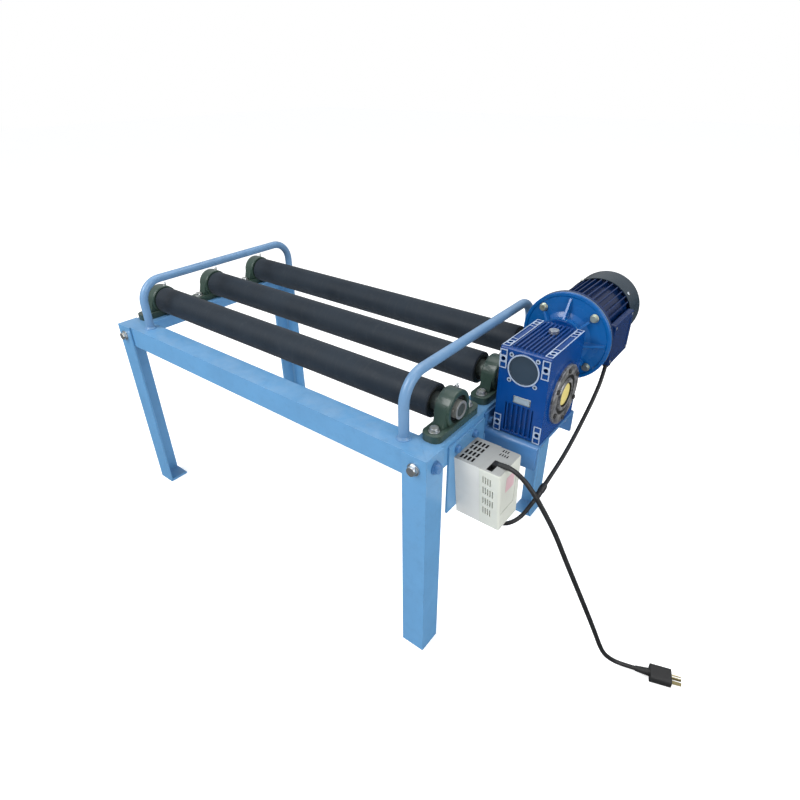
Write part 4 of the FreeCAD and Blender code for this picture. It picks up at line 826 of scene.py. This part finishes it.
# Floor and light
def build_stage():
    """Pale floor, soft lamps, a graded sky for reflections and a white background for the camera."""
    mesh = bpy.data.meshes.new("floor")
    size = 14.0
    mesh.from_pydata([(-size, -size, -0.0005), (size, -size, -0.0005), (size, size, -0.0005), (-size, size, -0.0005)],
                     [], [(0, 1, 2, 3)])
    floor_material = Shader("floor_white")
    tone = floor_material.noise(3.0, 3.0)
    floor_material.set(color=floor_material.mix(tone, (0.86, 0.86, 0.86, 1), (0.9, 0.9, 0.9, 1)), rough=0.85,
                       specular=0.1)
    # This glow clips the floor to pure white, so the object's shadow doesn't show
    floor_material.main.inputs["Emission Color"].default_value = (1.0, 1.0, 1.0, 1.0)
    floor_material.main.inputs["Emission Strength"].default_value = 0.55
    mesh.materials.append(floor_material.material)
    floor = bpy.data.objects.new("floor", mesh)
    scene.collection.objects.link(floor)
    # Left out of reflections, where it put a grey haze on the dark paints
    floor.visible_glossy = False
    world = bpy.data.worlds.new("studio")
    world.use_nodes = True
    tree = world.node_tree
    soft = tree.nodes["Background"]
    height = tree.nodes.new("ShaderNodeSeparateXYZ")
    ramp = tree.nodes.new("ShaderNodeValToRGB")
    ramp.color_ramp.elements[0].position = 0.42
    ramp.color_ramp.elements[0].color = (0.16, 0.17, 0.18, 1.0)
    ramp.color_ramp.elements[1].position = 0.62
    ramp.color_ramp.elements[1].color = (0.97, 0.985, 1.0, 1.0)
    scale = tree.nodes.new("ShaderNodeMapRange")
    scale.inputs["From Min"].default_value = -1.0
    place = tree.nodes.new("ShaderNodeTexCoord")
    tree.links.new(place.outputs["Generated"], height.inputs[0])
    tree.links.new(height.outputs["Z"], scale.inputs["Value"])
    tree.links.new(scale.outputs["Result"], ramp.inputs["Fac"])
    tree.links.new(ramp.outputs["Color"], soft.inputs["Color"])
    soft.inputs["Strength"].default_value = 0.52
    white = tree.nodes.new("ShaderNodeBackground")
    white.inputs["Color"].default_value = (1.0, 1.0, 1.0, 1.0)
    white.inputs["Strength"].default_value = 1.0
    path = tree.nodes.new("ShaderNodeLightPath")
    pick = tree.nodes.new("ShaderNodeMixShader")
    tree.links.new(path.outputs["Is Camera Ray"], pick.inputs[0])
    tree.links.new(soft.outputs[0], pick.inputs[1])
    tree.links.new(white.outputs[0], pick.inputs[2])
    tree.links.new(pick.outputs[0], tree.nodes["World Output"].inputs["Surface"])
    scene.world = world
    for name, spot, aim, size, power in (("key", (-0.8, -1.8, 2.3), (0.1, 0, 0.35), 1.5, 52.0),
                                         ("fill", (2.4, -0.6, 1.6), (0.2, 0, 0.4), 1.4, 24.0),
                                         ("top", (0.2, 0.6, 2.8), (0.1, 0, 0.4), 1.8, 24.0)):
        data = bpy.data.lights.new(name, "AREA")
        data.energy = power
        data.size = size
        lamp = bpy.data.objects.new(name, data)
        scene.collection.objects.link(lamp)
        direction = Vector(aim) - Vector(spot)
        lamp.matrix_world = Matrix.Translation(Vector(spot)) @ direction.to_track_quat("-Z", "Y").to_matrix().to_4x4()
    scene.view_settings.view_transform = "Standard"
    scene.view_settings.look = "None"
    scene.view_settings.exposure = 0.0
    scene.view_settings.gamma = 1.0


build_stage()
